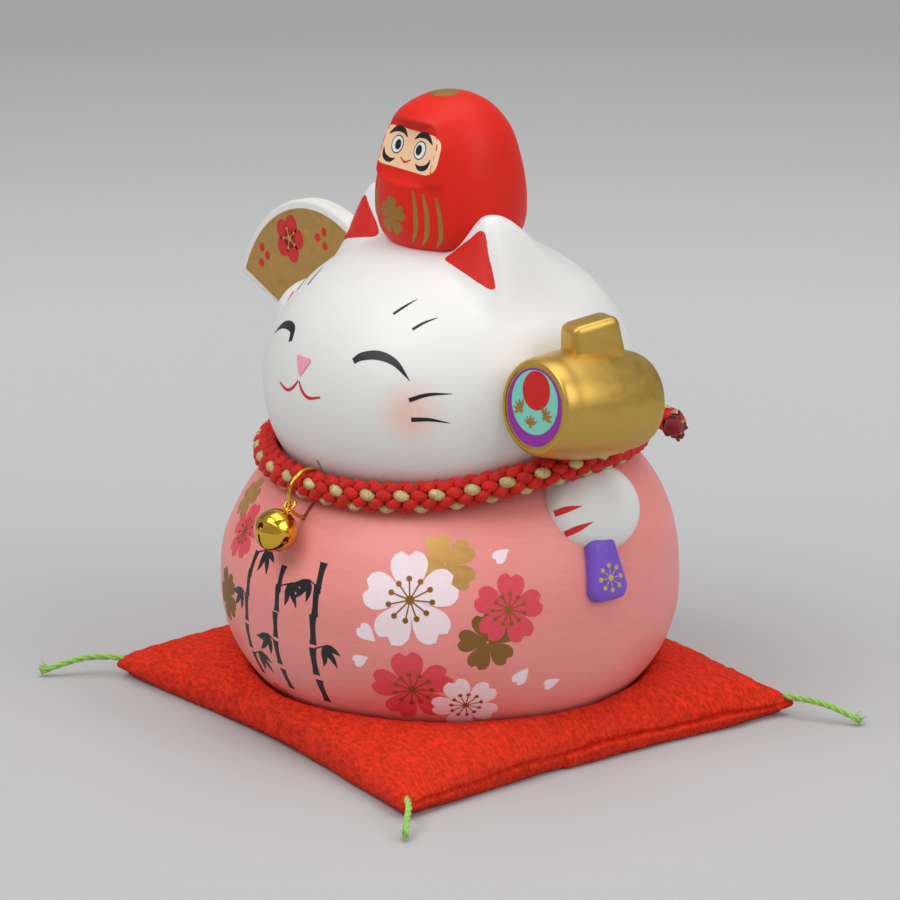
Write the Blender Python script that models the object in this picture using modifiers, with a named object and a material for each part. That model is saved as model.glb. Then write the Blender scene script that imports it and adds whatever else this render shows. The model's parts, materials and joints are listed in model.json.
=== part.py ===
"""Beckoning cat figurine: a hollow ceramic cat with a doll, a mallet and a fan, on a corded cushion.

The cat faces -Y and +X is the cat's own left. The origin is on the table, under the middle of the cushion.
"""

import math

import bmesh
import bpy
from mathutils import Matrix, Vector

MM = 0.001
GAP = 0.3 * MM  # between neighbouring pieces

# Cushion, corner to corner, and the dish that the cat presses into it
CUSHION_HALF_X = 63.75 * MM
CUSHION_HALF_Y = 60.75 * MM
CUSHION_CROWN = 9.7 * MM
CUSHION_EDGE_HEIGHT = 4.5 * MM
CUSHION_SIDE_PULL = 3.6 * MM
COVER_THICKNESS = 0.9 * MM
DISH_HEIGHT = 4.6 * MM
DISH_RADIUS = 46 * MM
DISH_SLOPE = 7.2 * MM
DISH_PART = 4 / 9  # of the way from the middle to the edge
SLIT_LENGTH, SLIT_OPENING = 44 * MM, 0.7 * MM
FILL_INSET = COVER_THICKNESS + 1.1 * MM
TASSEL_TIP = 78.2 * MM
TASSEL_RADIUS = 1.0 * MM

# Body: one turned form with a flat base, wider than it is high
BODY_RADIUS = 57.9 * MM
BODY_WIDEST = 32.3 * MM
BODY_RISE, BODY_RISE_POWER = 46 * MM, 2.5
BODY_FALL, BODY_FALL_POWER = 40 * MM, 2.1
BASE_HEIGHT = 5.0 * MM
SHOULDER_DROP = 5.2 * MM
BODY_WALL = 4.5 * MM
NECK_HEIGHT, NECK_TILT = 66.5 * MM, 0.047
NECK_PASSAGE = 36 * MM

# Head: an ellipsoid with two blunt ears
HEAD_CENTRE = Vector((0, 0, 84)) * MM
HEAD_RADII = Vector((47, 46.5, 38)) * MM
HEAD_WALL = 5.5 * MM
EAR_X, EAR_Y = 24 * MM, -6 * MM
EAR_RISE = 14 * MM

# Arms: each form is a centre and three radii
LEFT_PAW = Vector((44.7, 8.3, 62.3)) * MM, Vector((10.5, 11, 12.5)) * MM
RIGHT_PAW = Vector((-35, -15, 94)) * MM, Vector((11.5, 11.5, 11)) * MM
FOREARM = Vector((-41, -5, 86)) * MM, Vector((10, 9.5, 14)) * MM
LEFT_ARM_TOP = 70.5 * MM
RIGHT_ARM_FOOT = 77 * MM

# Collar: a round braid in the groove of the neck, thinner where the jump ring holds it
CORD_RADIUS = 3.9 * MM
WAIST_RADIUS, WAIST_LENGTH = 3.3 * MM, 2.2 * MM
KNOT_RADII = Vector((6.9, 5.2, 6.0)) * MM
TAIL_RADIUS = 3.2 * MM
TUFT_RADII = Vector((4.2, 4.2, 3.6)) * MM
TAIL_ROUTE = [
    Vector(point) * MM
    for point in (
        (7.3, 53.5, 68.6), (11.5, 54.6, 68.3), (16, 54.8, 68.4),
        (20.5, 53.8, 68.8), (25, 51.6, 69.4), (29, 48.6, 70.2),
    )
]

# Bell, in the upright plane that leaves the cat's axis at this angle from its front
BELL_ANGLE = math.radians(6)
RING_CENTRE, RING_RADIUS, WIRE_RADIUS = (47.1 * MM, 63.8 * MM), 6.0 * MM, 0.45 * MM
BELL_CENTRE, BELL_RADIUS, BELL_WALL = (57.4 * MM, 56.5 * MM), 5.4 * MM, 0.5 * MM
EYE_DISTANCE, EYE_RADIUS, EYE_WIRE = 7.1 * MM, 1.5 * MM, 0.4 * MM
BELL_LEAN = math.radians(40.4)
SLIT_WIDTH, SLIT_END_RADIUS, SLIT_LATITUDE = 0.7 * MM, 0.95 * MM, math.radians(16)
PELLET_RADIUS = 1.6 * MM

# Mallet on the cat's left and fan on its right
DRUM_CENTRE = Vector((53.7, -0.2, 89.7)) * MM
DRUM_AXIS = Vector((0.087, -0.988, 0.122)).normalized()
DRUM_HALF, DRUM_RADIUS, DRUM_END_RADIUS = 16.5 * MM, 13.5 * MM, 11.7 * MM
HANDLE_SIZE, HANDLE_CENTRE = Vector((8, 14, 14)) * MM, Vector((53.7, 2.1, 103.2)) * MM
HANDLE_TURN = (math.radians(7), 0, math.radians(-5))
GRIP_SIZE, GRIP_CENTRE = Vector((12, 12, 19)) * MM, Vector((54.0, 4.6, 49.0)) * MM
GRIP_LEAN, GRIP_TAPER = math.radians(-9), 0.17
FAN_PIVOT = Vector((-43, -8.5, 86.5)) * MM
FAN_RADIUS, FAN_THICKNESS = 36 * MM, 5 * MM
FAN_FROM, FAN_TO = math.radians(60), math.radians(162)

# Doll on the head
DOLL_BASE, DOLL_TOP = 118.6 * MM, 157 * MM
FACE_SIZE, FACE_CENTRE = Vector((24, 12, 12.6)) * MM, Vector((0, -18.6, 143.4)) * MM
FACE_TILT = math.radians(-16)

# Base stopper and coin slot
PLUG_RADIUS, PLUG_FLANGE = 13.5 * MM, 15.5 * MM
PLUG_WALL, PLUG_HEIGHT, FLANGE_THICKNESS = 1.6 * MM, 8 * MM, 2 * MM
COIN_SLOT = Vector((30, 24, 3.4)) * MM
COIN_SLOT_HEIGHT = 52 * MM

SIDES = 32
PLUG_SIDES = 32


# ---------------------------------------------------------------- helpers

def clear_scene():
    for obj in list(bpy.data.objects):
        bpy.data.objects.remove(obj, do_unlink=True)
    parts = bpy.data.collections.new("beckoning_cat")
    cutters = bpy.data.collections.new("cutters")
    for made in (parts, cutters):
        bpy.context.scene.collection.children.link(made)
    return parts, cutters


PARTS, CUTTERS = clear_scene()


def material(name, colour, roughness, metallic=0.0):
    """The node's own material, from a finish: colour, roughness and metallic value."""
    made = bpy.data.materials.new(name)
    made.use_nodes = True
    shader = made.node_tree.nodes["Principled BSDF"]
    shader.inputs["Base Color"].default_value = (*colour, 1)
    shader.inputs["Roughness"].default_value = roughness
    shader.inputs["Metallic"].default_value = metallic
    made.diffuse_color = (*colour, 1)
    return made


WHITE_GLAZE = ((0.80, 0.79, 0.78), 0.35)
PINK_GLAZE = ((0.86, 0.30, 0.28), 0.40)
RED_GLAZE = ((0.75, 0.03, 0.02), 0.45)
GOLD_PAINT = ((0.52, 0.34, 0.10), 0.42, 0.85)
PURPLE_PAINT = ((0.19, 0.08, 0.55), 0.45)
RED_CREPE = ((0.62, 0.03, 0.02), 0.85)
RED_CORD = ((0.60, 0.01, 0.01), 0.70)
DARK_THREAD = ((0.20, 0.0, 0.01), 0.90)
GREEN_THREAD = ((0.30, 0.72, 0.08), 0.80)
WADDING = ((0.85, 0.83, 0.78), 0.95)
BRASS = ((0.78, 0.54, 0.14), 0.18, 1.0)
STEEL = ((0.55, 0.55, 0.56), 0.30, 1.0)
PLUG_PLASTIC = ((0.85, 0.86, 0.88), 0.45)


def add_mesh(name, bm, finish=None):
    """A mesh object from bm, a part where it has a finish and a cutter where it has none."""
    bmesh.ops.recalc_face_normals(bm, faces=bm.faces)
    if bm.calc_volume(signed=True) < 0:
        bmesh.ops.reverse_faces(bm, faces=bm.faces)
    mesh = bpy.data.meshes.new(name)
    bm.to_mesh(mesh)
    bm.free()
    obj = bpy.data.objects.new(name, mesh)
    return settle(obj, finish)


def settle(obj, finish):
    if finish is None:
        CUTTERS.objects.link(obj)
        obj.hide_render = True
        obj.display_type = "WIRE"
    else:
        PARTS.objects.link(obj)
        obj.data.materials.clear()
        obj.data.materials.append(material(obj.name, *finish))
        if obj.type == "MESH":
            obj.data.shade_smooth()
            obj.data.set_sharp_from_angle(angle=math.radians(35))
    return obj


def cut(obj, *cutters):
    for cutter in cutters:
        boolean = obj.modifiers.new("cut_" + cutter.name, "BOOLEAN")
        boolean.operation = "DIFFERENCE"
        boolean.solver = "EXACT"
        boolean.object = cutter
    return obj


def join(obj, *others):
    for other in others:
        boolean = obj.modifiers.new("join_" + other.name, "BOOLEAN")
        boolean.operation = "UNION"
        boolean.solver = "EXACT"
        boolean.object = other
    return obj


def turned(name, profile, finish=None, steps=SIDES):
    """A profile of (radius, height) points, top to bottom, turned about Z, which it may meet at its ends."""
    bm = bmesh.new()
    points = [bm.verts.new((radius, 0, height)) for radius, height in profile]
    for first, second in zip(points, points[1:]):
        bm.edges.new((first, second))
    if profile[0][0] > 0:
        bm.edges.new((points[-1], points[0]))
    mesh = bpy.data.meshes.new(name)
    bm.to_mesh(mesh)
    bm.free()
    obj = bpy.data.objects.new(name, mesh)
    screw = obj.modifiers.new("turn", "SCREW")
    screw.steps = steps
    screw.render_steps = steps
    screw.use_merge_vertices = True
    screw.merge_threshold = 0.00001
    return settle(obj, finish)


def applied(obj):
    """Replaces the object's mesh with the one that its modifiers make."""
    bpy.context.view_layer.update()
    evaluated = obj.evaluated_get(bpy.context.evaluated_depsgraph_get())
    mesh = bpy.data.meshes.new_from_object(evaluated)
    obj.modifiers.clear()
    obj.data = mesh
    return obj


def moved_points(obj, rule):
    for vertex in obj.data.vertices:
        vertex.co = rule(vertex.co.copy())
    return obj


def ellipsoid(name, centre, radii, finish=None, segments=24, rings=14):
    bm = bmesh.new()
    bmesh.ops.create_uvsphere(bm, u_segments=segments, v_segments=rings, radius=1)
    for vertex in bm.verts:
        vertex.co = Vector(c + r * v for c, r, v in zip(centre, radii, vertex.co))
    return add_mesh(name, bm, finish)


def box(name, size, centre=(0, 0, 0), finish=None, bevel=0.0):
    bm = bmesh.new()
    bmesh.ops.create_cube(bm, size=1)
    bmesh.ops.scale(bm, vec=size, verts=bm.verts)
    bmesh.ops.translate(bm, vec=centre, verts=bm.verts)
    if bevel:
        bmesh.ops.bevel(bm, geom=bm.edges, offset=bevel, segments=3, profile=0.5, affect="EDGES")
    return add_mesh(name, bm, finish)


def cylinder(name, radius, depth, finish=None, segments=24):
    bm = bmesh.new()
    bmesh.ops.create_cone(
        bm, cap_ends=True, segments=segments, radius1=radius, radius2=radius, depth=depth
    )
    return add_mesh(name, bm, finish)


def tube(name, points, radius, finish=None, cyclic=False, radii=None, sides=2):
    """A round tube through points. A cutter, or a tube to be cut, is made a mesh by as_mesh."""
    curve = bpy.data.curves.new(name, "CURVE")
    curve.dimensions = "3D"
    curve.bevel_depth = radius
    curve.bevel_resolution = sides
    curve.use_fill_caps = True
    spline = curve.splines.new("POLY")
    spline.points.add(len(points) - 1)
    spline.use_cyclic_u = cyclic
    for i, (target, point) in enumerate(zip(spline.points, points)):
        target.co = (*point, 1)
        target.radius = radii[i] if radii else 1.0
    return settle(bpy.data.objects.new(name, curve), finish)


def as_mesh(curve, finish=None):
    """The same shape as a mesh whose caps are welded. The curve is removed."""
    bpy.context.view_layer.update()
    evaluated = curve.evaluated_get(bpy.context.evaluated_depsgraph_get())
    mesh = bpy.data.meshes.new_from_object(evaluated)
    name, place = curve.name, curve.matrix_world.copy()
    bpy.data.objects.remove(curve, do_unlink=True)
    bm = bmesh.new()
    bm.from_mesh(mesh)
    bmesh.ops.remove_doubles(bm, verts=bm.verts, dist=0.00001)
    obj = add_mesh(name, bm, finish)
    obj.matrix_world = place
    return obj


def smooth(value):
    value = min(max(value, 0.0), 1.0)
    return value * value * (3 - 2 * value)


# ---------------------------------------------------------------- ceramic forms

def body_radius(height):
    rising = height > BODY_WIDEST
    reach = BODY_RISE if rising else BODY_FALL
    power = BODY_RISE_POWER if rising else BODY_FALL_POWER
    left = 1 - (abs(height - BODY_WIDEST) / reach) ** power
    return BODY_RADIUS * max(left, 0) ** (1 / power)


def drop_shoulder(point):
    """The front of the shoulder lies lower than its back."""
    across = math.hypot(point.x, point.y)
    if across < 1 * MM:
        return point
    facing = (0.5 - 0.5 * point.y / across) ** 2
    point.z -= SHOULDER_DROP * facing * smooth((point.z - 36 * MM) / (20 * MM))
    return point


def body_form(name, grow, top, base, finish=None, count=13):
    """The body as a solid, larger all round by grow, between two heights."""
    heights = [top + (base - top) * i / count for i in range(count + 1)]
    profile = [(0, top)]
    profile += [(body_radius(height) + grow, height) for height in heights]
    profile += [(0, base)]
    form = applied(turned(name, profile, finish))
    moved_points(form, drop_shoulder)
    return form


def ear_height(x, y):
    along = (abs(x) - EAR_X) / (13 * MM)
    ridge = smooth(1 - abs(along))
    if y < EAR_Y:
        return EAR_RISE * ridge * smooth(1 - (EAR_Y - y) / (9 * MM))
    return EAR_RISE * ridge * math.exp(-(((y - EAR_Y) / (16 * MM)) ** 2))


def raise_ears(point):
    if point.z > 96 * MM:
        point.z += ear_height(point.x, point.y)
    return point


def head_form(name, grow, finish=None):
    radii = HEAD_RADII + Vector((grow, grow, grow))
    form = ellipsoid(name, HEAD_CENTRE, radii, finish, segments=36, rings=22)
    moved_points(form, raise_ears)
    return form


def collar_point(angle, grow=0.0):
    """The middle of the collar cord at an angle from the cat's front, towards its left."""
    degrees = math.degrees(abs((angle + math.pi) % (2 * math.pi) - math.pi))
    over_arm = math.exp(-(((degrees - 90) / 22) ** 2))
    lift = math.exp(-(((degrees - 92) / 32) ** 2))
    radius = (46 - 0.5 * math.cos(angle) + 3.2 * over_arm) * MM + grow
    height = (67.2 - 2.8 * math.cos(angle) + 5.7 * lift) * MM
    return Vector((radius * math.sin(angle), -radius * math.cos(angle), height))


def collar_tube(name, radius, start, end, count, finish=None, cyclic=False):
    steps = count if cyclic else count - 1
    angles = [start + (end - start) * i / steps for i in range(count)]
    return tube(name, [collar_point(a) for a in angles], radius, finish, cyclic=cyclic)


def neck_block(name, upward):
    """A block above or below the tilted plane where the head meets the body, half a gap away from it."""
    size = 140 * MM
    block = box(name, (size, size, size), (0, 0, size / 2 if upward else -size / 2))
    shift = GAP / 2 if upward else -GAP / 2
    block.location = (0, 0, NECK_HEIGHT - shift)
    block.rotation_euler = (math.atan(NECK_TILT), 0, 0)
    return block


def doll_profile(grow):
    """The doll's outline, top to bottom, larger all round by grow."""
    outline = [
        (0, 157), (4.3, 156.4), (8.5, 154.4), (12, 151.4), (15.4, 146.5), (17.6, 139.5), (18.7, 134),
        (19, 129.5), (18.7, 125), (17.4, 121.7), (15.4, 119.7), (12, 118.6), (0, 118.6),
    ]
    middle = (DOLL_BASE + DOLL_TOP) / 2
    points = []
    for radius, height in outline:
        height = height * MM + math.copysign(grow, height * MM - middle)
        points.append((radius * MM + (grow if radius else 0), height))
    return points


def drum_profile(grow):
    end, shoulder = DRUM_HALF + grow, DRUM_HALF - 1.4 * MM
    rim = DRUM_END_RADIUS - 1.5 * MM
    half = [(rim, end), (DRUM_END_RADIUS, shoulder), (12.8 * MM, 8.5 * MM)]
    upper = [(0, end)] + [(radius + grow, height) for radius, height in half]
    lower = [(radius, -height) for radius, height in reversed(upper)]
    return upper + [(DRUM_RADIUS + grow, 0)] + lower


def place_drum(obj):
    turn = DRUM_AXIS.to_track_quat("Z", "X").to_matrix().to_4x4()
    obj.matrix_world = Matrix.Translation(DRUM_CENTRE) @ turn
    return obj


FORM_TOP = 75 * MM
BODY_CUTTER = body_form("cut_body", GAP, FORM_TOP, BASE_HEIGHT - GAP)
HEAD_CUTTER = head_form("cut_head", 1.7 * GAP)
DOLL_CUTTER = turned("cut_doll", doll_profile(GAP))
DRUM_CUTTER = place_drum(turned("cut_drum", drum_profile(GAP)))
GROOVE_CUTTER = as_mesh(
    collar_tube("cut_groove", CORD_RADIUS + 1.2 * GAP, 0, 2 * math.pi, 48, cyclic=True)
)


# ---------------------------------------------------------------- cushion

def cushion_form(name, inset, finish=None, around=40, rings=9):
    """Two sheets sewn round their edge, with the cat's dish in the upper one, smaller all round by inset.

    The rings of points are circles as far as the edge of the dish, and widen from there to the outline.
    """
    bm = bmesh.new()
    for is_top in (True, False):
        sheet = bmesh.ops.create_grid(bm, x_segments=around, y_segments=rings, size=1)
        for vertex in sheet["verts"]:
            angle = math.pi * vertex.co.x
            part = (vertex.co.y + 1) / 2
            widest = max(abs(math.cos(angle)), abs(math.sin(angle)))
            u, v = math.cos(angle) / widest, math.sin(angle) / widest
            edge_x = u * (CUSHION_HALF_X - CUSHION_SIDE_PULL * (1 - v * v) - 2 * inset)
            edge_y = v * (CUSHION_HALF_Y - CUSHION_SIDE_PULL * (1 - u * u) - 2 * inset)
            ring = DISH_RADIUS * min(part / DISH_PART, 1)
            outward = max(part - DISH_PART, 0) / (1 - DISH_PART)
            x = ring * math.cos(angle) * (1 - outward) + edge_x * outward
            y = ring * math.sin(angle) * (1 - outward) + edge_y * outward
            fullness = math.sqrt(max(0.0, 1 - outward**3)) if outward < 0.999 else 0.0
            if is_top:
                crown = CUSHION_EDGE_HEIGHT + fullness * (CUSHION_CROWN - inset - CUSHION_EDGE_HEIGHT)
                dish = DISH_HEIGHT - inset
                rise = smooth((math.hypot(x, y) - DISH_RADIUS) / DISH_SLOPE)
                z = dish + (crown - dish) * rise
            else:
                z = CUSHION_EDGE_HEIGHT - fullness * (CUSHION_EDGE_HEIGHT - inset)
            vertex.co = (x, y, z)
    bmesh.ops.remove_doubles(bm, verts=bm.verts, dist=0.00001)
    return add_mesh(name, bm, finish)


def make_cushion():
    """The envelope cover, open at the overlap on the cat's left side, and its wadding."""
    hollow = cushion_form("cut_cover", COVER_THICKNESS, around=32)
    slit_size = (20 * MM, SLIT_LENGTH, SLIT_OPENING)
    slit = box("cut_overlap", slit_size, (CUSHION_HALF_X - 6 * MM, 0, CUSHION_EDGE_HEIGHT))
    cover = cushion_form("cushion_cover", 0.0, RED_CREPE)
    cut(cover, hollow, slit)
    cushion_form("cushion_fill", FILL_INSET, WADDING, around=32)


def make_tassels():
    """A twist of thread from each corner of the cushion down to the table, frayed at its end."""
    names = {(1, -1): "front_left", (-1, -1): "front_right", (1, 1): "back_left", (-1, 1): "back_right"}
    tip_y = TASSEL_TIP - (CUSHION_HALF_X - CUSHION_HALF_Y)
    count = 6
    for (side_x, side_y), where in names.items():
        start = Vector((CUSHION_HALF_X + 0.8 * MM, CUSHION_HALF_Y + 0.8 * MM, 4.6 * MM))
        end = Vector((TASSEL_TIP - 0.5 * MM, tip_y - 0.5 * MM, 1.3 * MM))
        points = []
        for i in range(count):
            part = i / (count - 1)
            point = start.lerp(end, part)
            point.z += 1.6 * MM * math.sin(math.pi * part)
            points.append(Vector((side_x * point.x, side_y * point.y, point.z)))
        swell = [1.0, 1.0, 0.85, 0.95, 1.15, 1.2]
        tube("tassel_" + where, points, TASSEL_RADIUS, GREEN_THREAD, radii=swell)


# ---------------------------------------------------------------- cat

def ring_slot():
    """Room in the neck for the jump ring and its swing."""
    slot = cylinder("cut_ring_slot", 8.0 * MM, 2.0 * MM)
    slot.matrix_world = bell_plane(47.2 * MM, 65.0 * MM) @ Matrix.Rotation(math.pi / 2, 4, "Y")
    return slot


def make_body(slot):
    """Hollow body with a hole for the stopper in its base and a coin slot in its back."""
    hollow = body_form("cut_body_hollow", -BODY_WALL, FORM_TOP - 2 * MM, BASE_HEIGHT + BODY_WALL, count=8)
    flange, hole = PLUG_FLANGE + GAP, PLUG_RADIUS + GAP
    seat = BASE_HEIGHT + FLANGE_THICKNESS + 2 * GAP
    above_floor, below_base = BASE_HEIGHT + 8 * MM, BASE_HEIGHT - 3 * MM
    plug_hole = turned("cut_plug_hole", [
        (0, above_floor), (hole, above_floor), (hole, seat),
        (flange, seat), (flange, below_base), (0, below_base),
    ], steps=PLUG_SIDES)
    coin_slot = box("cut_coin_slot", COIN_SLOT, (0, BODY_RADIUS - 4 * MM, COIN_SLOT_HEIGHT))
    above = neck_block("cut_above_neck", True)
    neck = cylinder("cut_neck", NECK_PASSAGE, 40 * MM, segments=36)
    neck.location = (0, 0, 78 * MM)
    body = body_form("body_shell", 0.0, FORM_TOP, BASE_HEIGHT, PINK_GLAZE)
    cut(body, hollow, above, neck, plug_hole, coin_slot, GROOVE_CUTTER, slot)


def make_head(slot):
    """Hollow head, open at the neck, with the ears moulded in and a seat for the doll."""
    inner = HEAD_RADII - Vector((HEAD_WALL, HEAD_WALL, HEAD_WALL))
    hollow = ellipsoid("cut_head_hollow", HEAD_CENTRE, inner, segments=20, rings=12)
    below = neck_block("cut_below_neck", False)
    neck = cylinder("cut_head_neck", NECK_PASSAGE, 40 * MM, segments=36)
    neck.location = (0, 0, 60 * MM)
    head = head_form("head_shell", 0.0, WHITE_GLAZE)
    cut(head, hollow, below, neck, DOLL_CUTTER, GROOVE_CUTTER, slot)


def make_doll():
    """A round-bottomed doll with a sunken face under the edge of its hood."""
    doll = turned("daruma_doll", doll_profile(0.0), RED_GLAZE)
    face = box("cut_face", FACE_SIZE, bevel=2 * MM)
    face.rotation_euler = (FACE_TILT, 0, 0)
    face.location = FACE_CENTRE
    cut(doll, face)


def make_left_arm():
    """The lowered paw that holds the mallet's handle against the body."""
    arm = ellipsoid("left_arm", *LEFT_PAW, WHITE_GLAZE)
    size = 40 * MM
    above = box("cut_above_arm", (size, size, size), (LEFT_PAW[0].x, LEFT_PAW[0].y, LEFT_ARM_TOP + size / 2))
    cut(arm, BODY_CUTTER, HEAD_CUTTER, GROOVE_CUTTER, above)


def make_right_arm():
    """The raised arm, lying along the side of the head, with its paw at the fan's pivot."""
    paw = ellipsoid("right_arm", *RIGHT_PAW, WHITE_GLAZE)
    forearm = ellipsoid("join_forearm", *FOREARM)
    size = 50 * MM
    below = box("cut_below_arm", (size, size, size), (FOREARM[0].x, FOREARM[0].y, RIGHT_ARM_FOOT - size / 2))
    join(paw, forearm)
    cut(paw, HEAD_CUTTER, BODY_CUTTER, GROOVE_CUTTER, below)


def arm_cutter(name, form):
    centre, radii = form
    return ellipsoid(name, centre, radii + Vector((GAP, GAP, GAP)))


def make_mallet():
    """The drum, the block of the handle above it, and the grip below the paw."""
    drum = place_drum(turned("mallet_drum", drum_profile(0.0), GOLD_PAINT))
    cut(drum, HEAD_CUTTER, GROOVE_CUTTER)
    top = box("mallet_handle_top", HANDLE_SIZE, finish=GOLD_PAINT, bevel=1.8 * MM)
    top.rotation_euler = HANDLE_TURN
    top.location = HANDLE_CENTRE
    cut(top, DRUM_CUTTER, HEAD_CUTTER)
    grip = box("mallet_grip", GRIP_SIZE, finish=PURPLE_PAINT, bevel=1.5 * MM)
    half = GRIP_SIZE.z / 2
    moved_points(grip, lambda p: Vector((p.x, p.y * (1 - GRIP_TAPER * p.z / half), p.z)))
    grip.rotation_euler = (0, GRIP_LEAN, 0)
    grip.location = GRIP_CENTRE
    cut(grip, BODY_CUTTER, arm_cutter("cut_left_paw", LEFT_PAW))


def make_fan():
    """An open folding fan, moulded as one thick leaf whose pivot is inside the raised paw."""
    curve = bpy.data.curves.new("fan_leaf", "CURVE")
    curve.dimensions = "2D"
    curve.fill_mode = "BOTH"
    curve.extrude = FAN_THICKNESS / 2
    spline = curve.splines.new("POLY")
    count = 26
    angles = [FAN_FROM + (FAN_TO - FAN_FROM) * i / (count - 1) for i in range(count)]
    outline = [(FAN_RADIUS * math.cos(a), FAN_RADIUS * math.sin(a)) for a in angles]
    hub = 4 * MM
    outline += [(hub * math.cos(a), hub * math.sin(a)) for a in reversed(angles[::5])]
    spline.points.add(len(outline) - 1)
    spline.use_cyclic_u = True
    for target, (x, y) in zip(spline.points, outline):
        target.co = (x, y, 0, 1)
    leaf = settle(bpy.data.objects.new("fan_leaf", curve), GOLD_PAINT)
    leaf.rotation_euler = (math.pi / 2, 0, 0)
    leaf.location = FAN_PIVOT
    leaf = as_mesh(leaf, GOLD_PAINT)
    paw = arm_cutter("cut_right_paw", RIGHT_PAW)
    forearm = arm_cutter("cut_forearm", FOREARM)
    inner_size = Vector((30, 12, 60)) * MM
    inner = box("cut_fan_inner", inner_size, FAN_PIVOT + Vector((16 * MM, 0, 0)))
    cut(leaf, HEAD_CUTTER, paw, forearm, inner)


def make_stopper():
    """A flanged plug that closes the hole in the base, hollow above."""
    bottom = BASE_HEIGHT + GAP
    seat, top = bottom + FLANGE_THICKNESS, bottom + PLUG_HEIGHT
    inside = PLUG_RADIUS - PLUG_WALL
    turned("base_stopper", [
        (0, seat), (inside, seat), (inside, top), (PLUG_RADIUS - 0.5 * MM, top),
        (PLUG_RADIUS, top - 2 * MM), (PLUG_RADIUS, seat),
        (PLUG_FLANGE, seat), (PLUG_FLANGE, bottom), (0, bottom),
    ], PLUG_PLASTIC, steps=PLUG_SIDES)


# ---------------------------------------------------------------- collar

def make_collar():
    """The braid, its knot at the back, and two short tails that end in frayed tufts."""
    open_half = (KNOT_RADII.x + 1.3 * GAP) / collar_point(math.pi).y
    start, end = -math.pi + open_half, math.pi - open_half
    cord = as_mesh(collar_tube("collar_cord", CORD_RADIUS, start, end, 46, RED_CORD), RED_CORD)
    waist_outer = cylinder("cut_waist", CORD_RADIUS + 1.6 * MM, WAIST_LENGTH)
    core = cylinder("cut_waist_core", WAIST_RADIUS, 6 * MM)
    middle = collar_point(BELL_ANGLE)
    place = bell_plane(math.hypot(middle.x, middle.y), middle.z) @ Matrix.Rotation(math.pi / 2, 4, "Y")
    for piece in (waist_outer, core):
        piece.matrix_world = place
    cut(waist_outer, core)
    cut(cord, waist_outer)
    behind = collar_point(math.pi) + Vector((0, 2.5 * MM, 0))
    knot = ellipsoid("collar_knot", behind, KNOT_RADII, RED_CORD, 18, 12)
    cut(knot, HEAD_CUTTER, BODY_CUTTER)
    for side, where in ((1, "left"), (-1, "right")):
        make_tail(side, where)


def make_tail(side, where):
    """One end of the braid beyond the knot, with its tuft."""
    route = [Vector((side * point.x, point.y, point.z)) for point in TAIL_ROUTE]
    tube("collar_tail_" + where, route, TAIL_RADIUS, RED_CORD)
    away = (route[-1] - route[-2]).normalized()
    tuft = ellipsoid("tail_tuft_" + where, (0, 0, 0), TUFT_RADII, DARK_THREAD, 14, 10)
    turn = away.to_track_quat("Z", "X").to_matrix().to_4x4()
    tuft.matrix_world = Matrix.Translation(route[-1] + away * (TUFT_RADII.z + GAP)) @ turn


# ---------------------------------------------------------------- bell

def bell_plane(radius, height):
    """A frame at a point of the bell's plane: X along the cord, Y outwards from the cat, Z up."""
    outward = Vector((math.sin(BELL_ANGLE), -math.cos(BELL_ANGLE), 0))
    along = Vector((-math.cos(BELL_ANGLE), -math.sin(BELL_ANGLE), 0))
    place = Matrix((along, outward, Vector((0, 0, 1)))).transposed().to_4x4()
    place.translation = outward * radius + Vector((0, 0, height))
    return place


def leaning(place):
    """The same frame with Z along the bell's own axis, from the bell to its eye."""
    return place @ Matrix.Rotation(BELL_LEAN, 4, "X")


def torus(name, major, minor, finish, around=24, section=8):
    points = []
    for i in range(around):
        angle = 2 * math.pi * i / around
        points.append(Vector((0, major * math.cos(angle), major * math.sin(angle))))
    return as_mesh(tube(name, points, minor, finish, cyclic=True, sides=(section - 4) // 2), finish)


def make_bell():
    """Jump ring round the cord, eye, slotted ball and the pellet inside it."""
    ring = torus("bell_ring", RING_RADIUS, WIRE_RADIUS, BRASS)
    ring.matrix_world = bell_plane(*RING_CENTRE)
    place = leaning(bell_plane(*BELL_CENTRE))
    make_ball(place)
    make_eye(place)
    pellet = ellipsoid("bell_pellet", (0, 0, 0), (PELLET_RADIUS,) * 3, STEEL, 12, 8)
    resting = BELL_CENTRE[1] - 2.9 * MM
    pellet.matrix_world = bell_plane(BELL_CENTRE[0], resting)


def make_ball(place):
    """A thin hollow ball with a hole for the eye's shank and two crossed slits that end in round holes."""
    bell = ellipsoid("bell_cup", (0, 0, 0), (BELL_RADIUS,) * 3, BRASS, 18, 12)
    inner = ellipsoid("cut_bell", (0, 0, 0), (BELL_RADIUS - BELL_WALL,) * 3, None, 14, 8)
    crown_hole = cylinder("cut_crown", 0.9 * MM, 4 * MM, segments=12)
    crown_hole.matrix_world = place @ Matrix.Translation((0, 0, BELL_RADIUS))
    bell.matrix_world = place
    inner.matrix_world = place
    cut(bell, inner, crown_hole)
    width, depth = 14 * MM, 8 * MM
    slit_top = Matrix.Translation((0, 0, -BELL_RADIUS * math.sin(SLIT_LATITUDE)))
    for i in range(2):
        around = place @ Matrix.Rotation(i * math.pi / 2, 4, "Z") @ slit_top
        slit = box("cut_slit_%d" % i, (width, SLIT_WIDTH, depth))
        slit.matrix_world = around @ Matrix.Translation((0, 0, -depth / 2))
        end = cylinder("cut_slit_end_%d" % i, SLIT_END_RADIUS, width, segments=12)
        end.matrix_world = around @ Matrix.Rotation(math.pi / 2, 4, "Y")
        cut(bell, slit, end)


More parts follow.
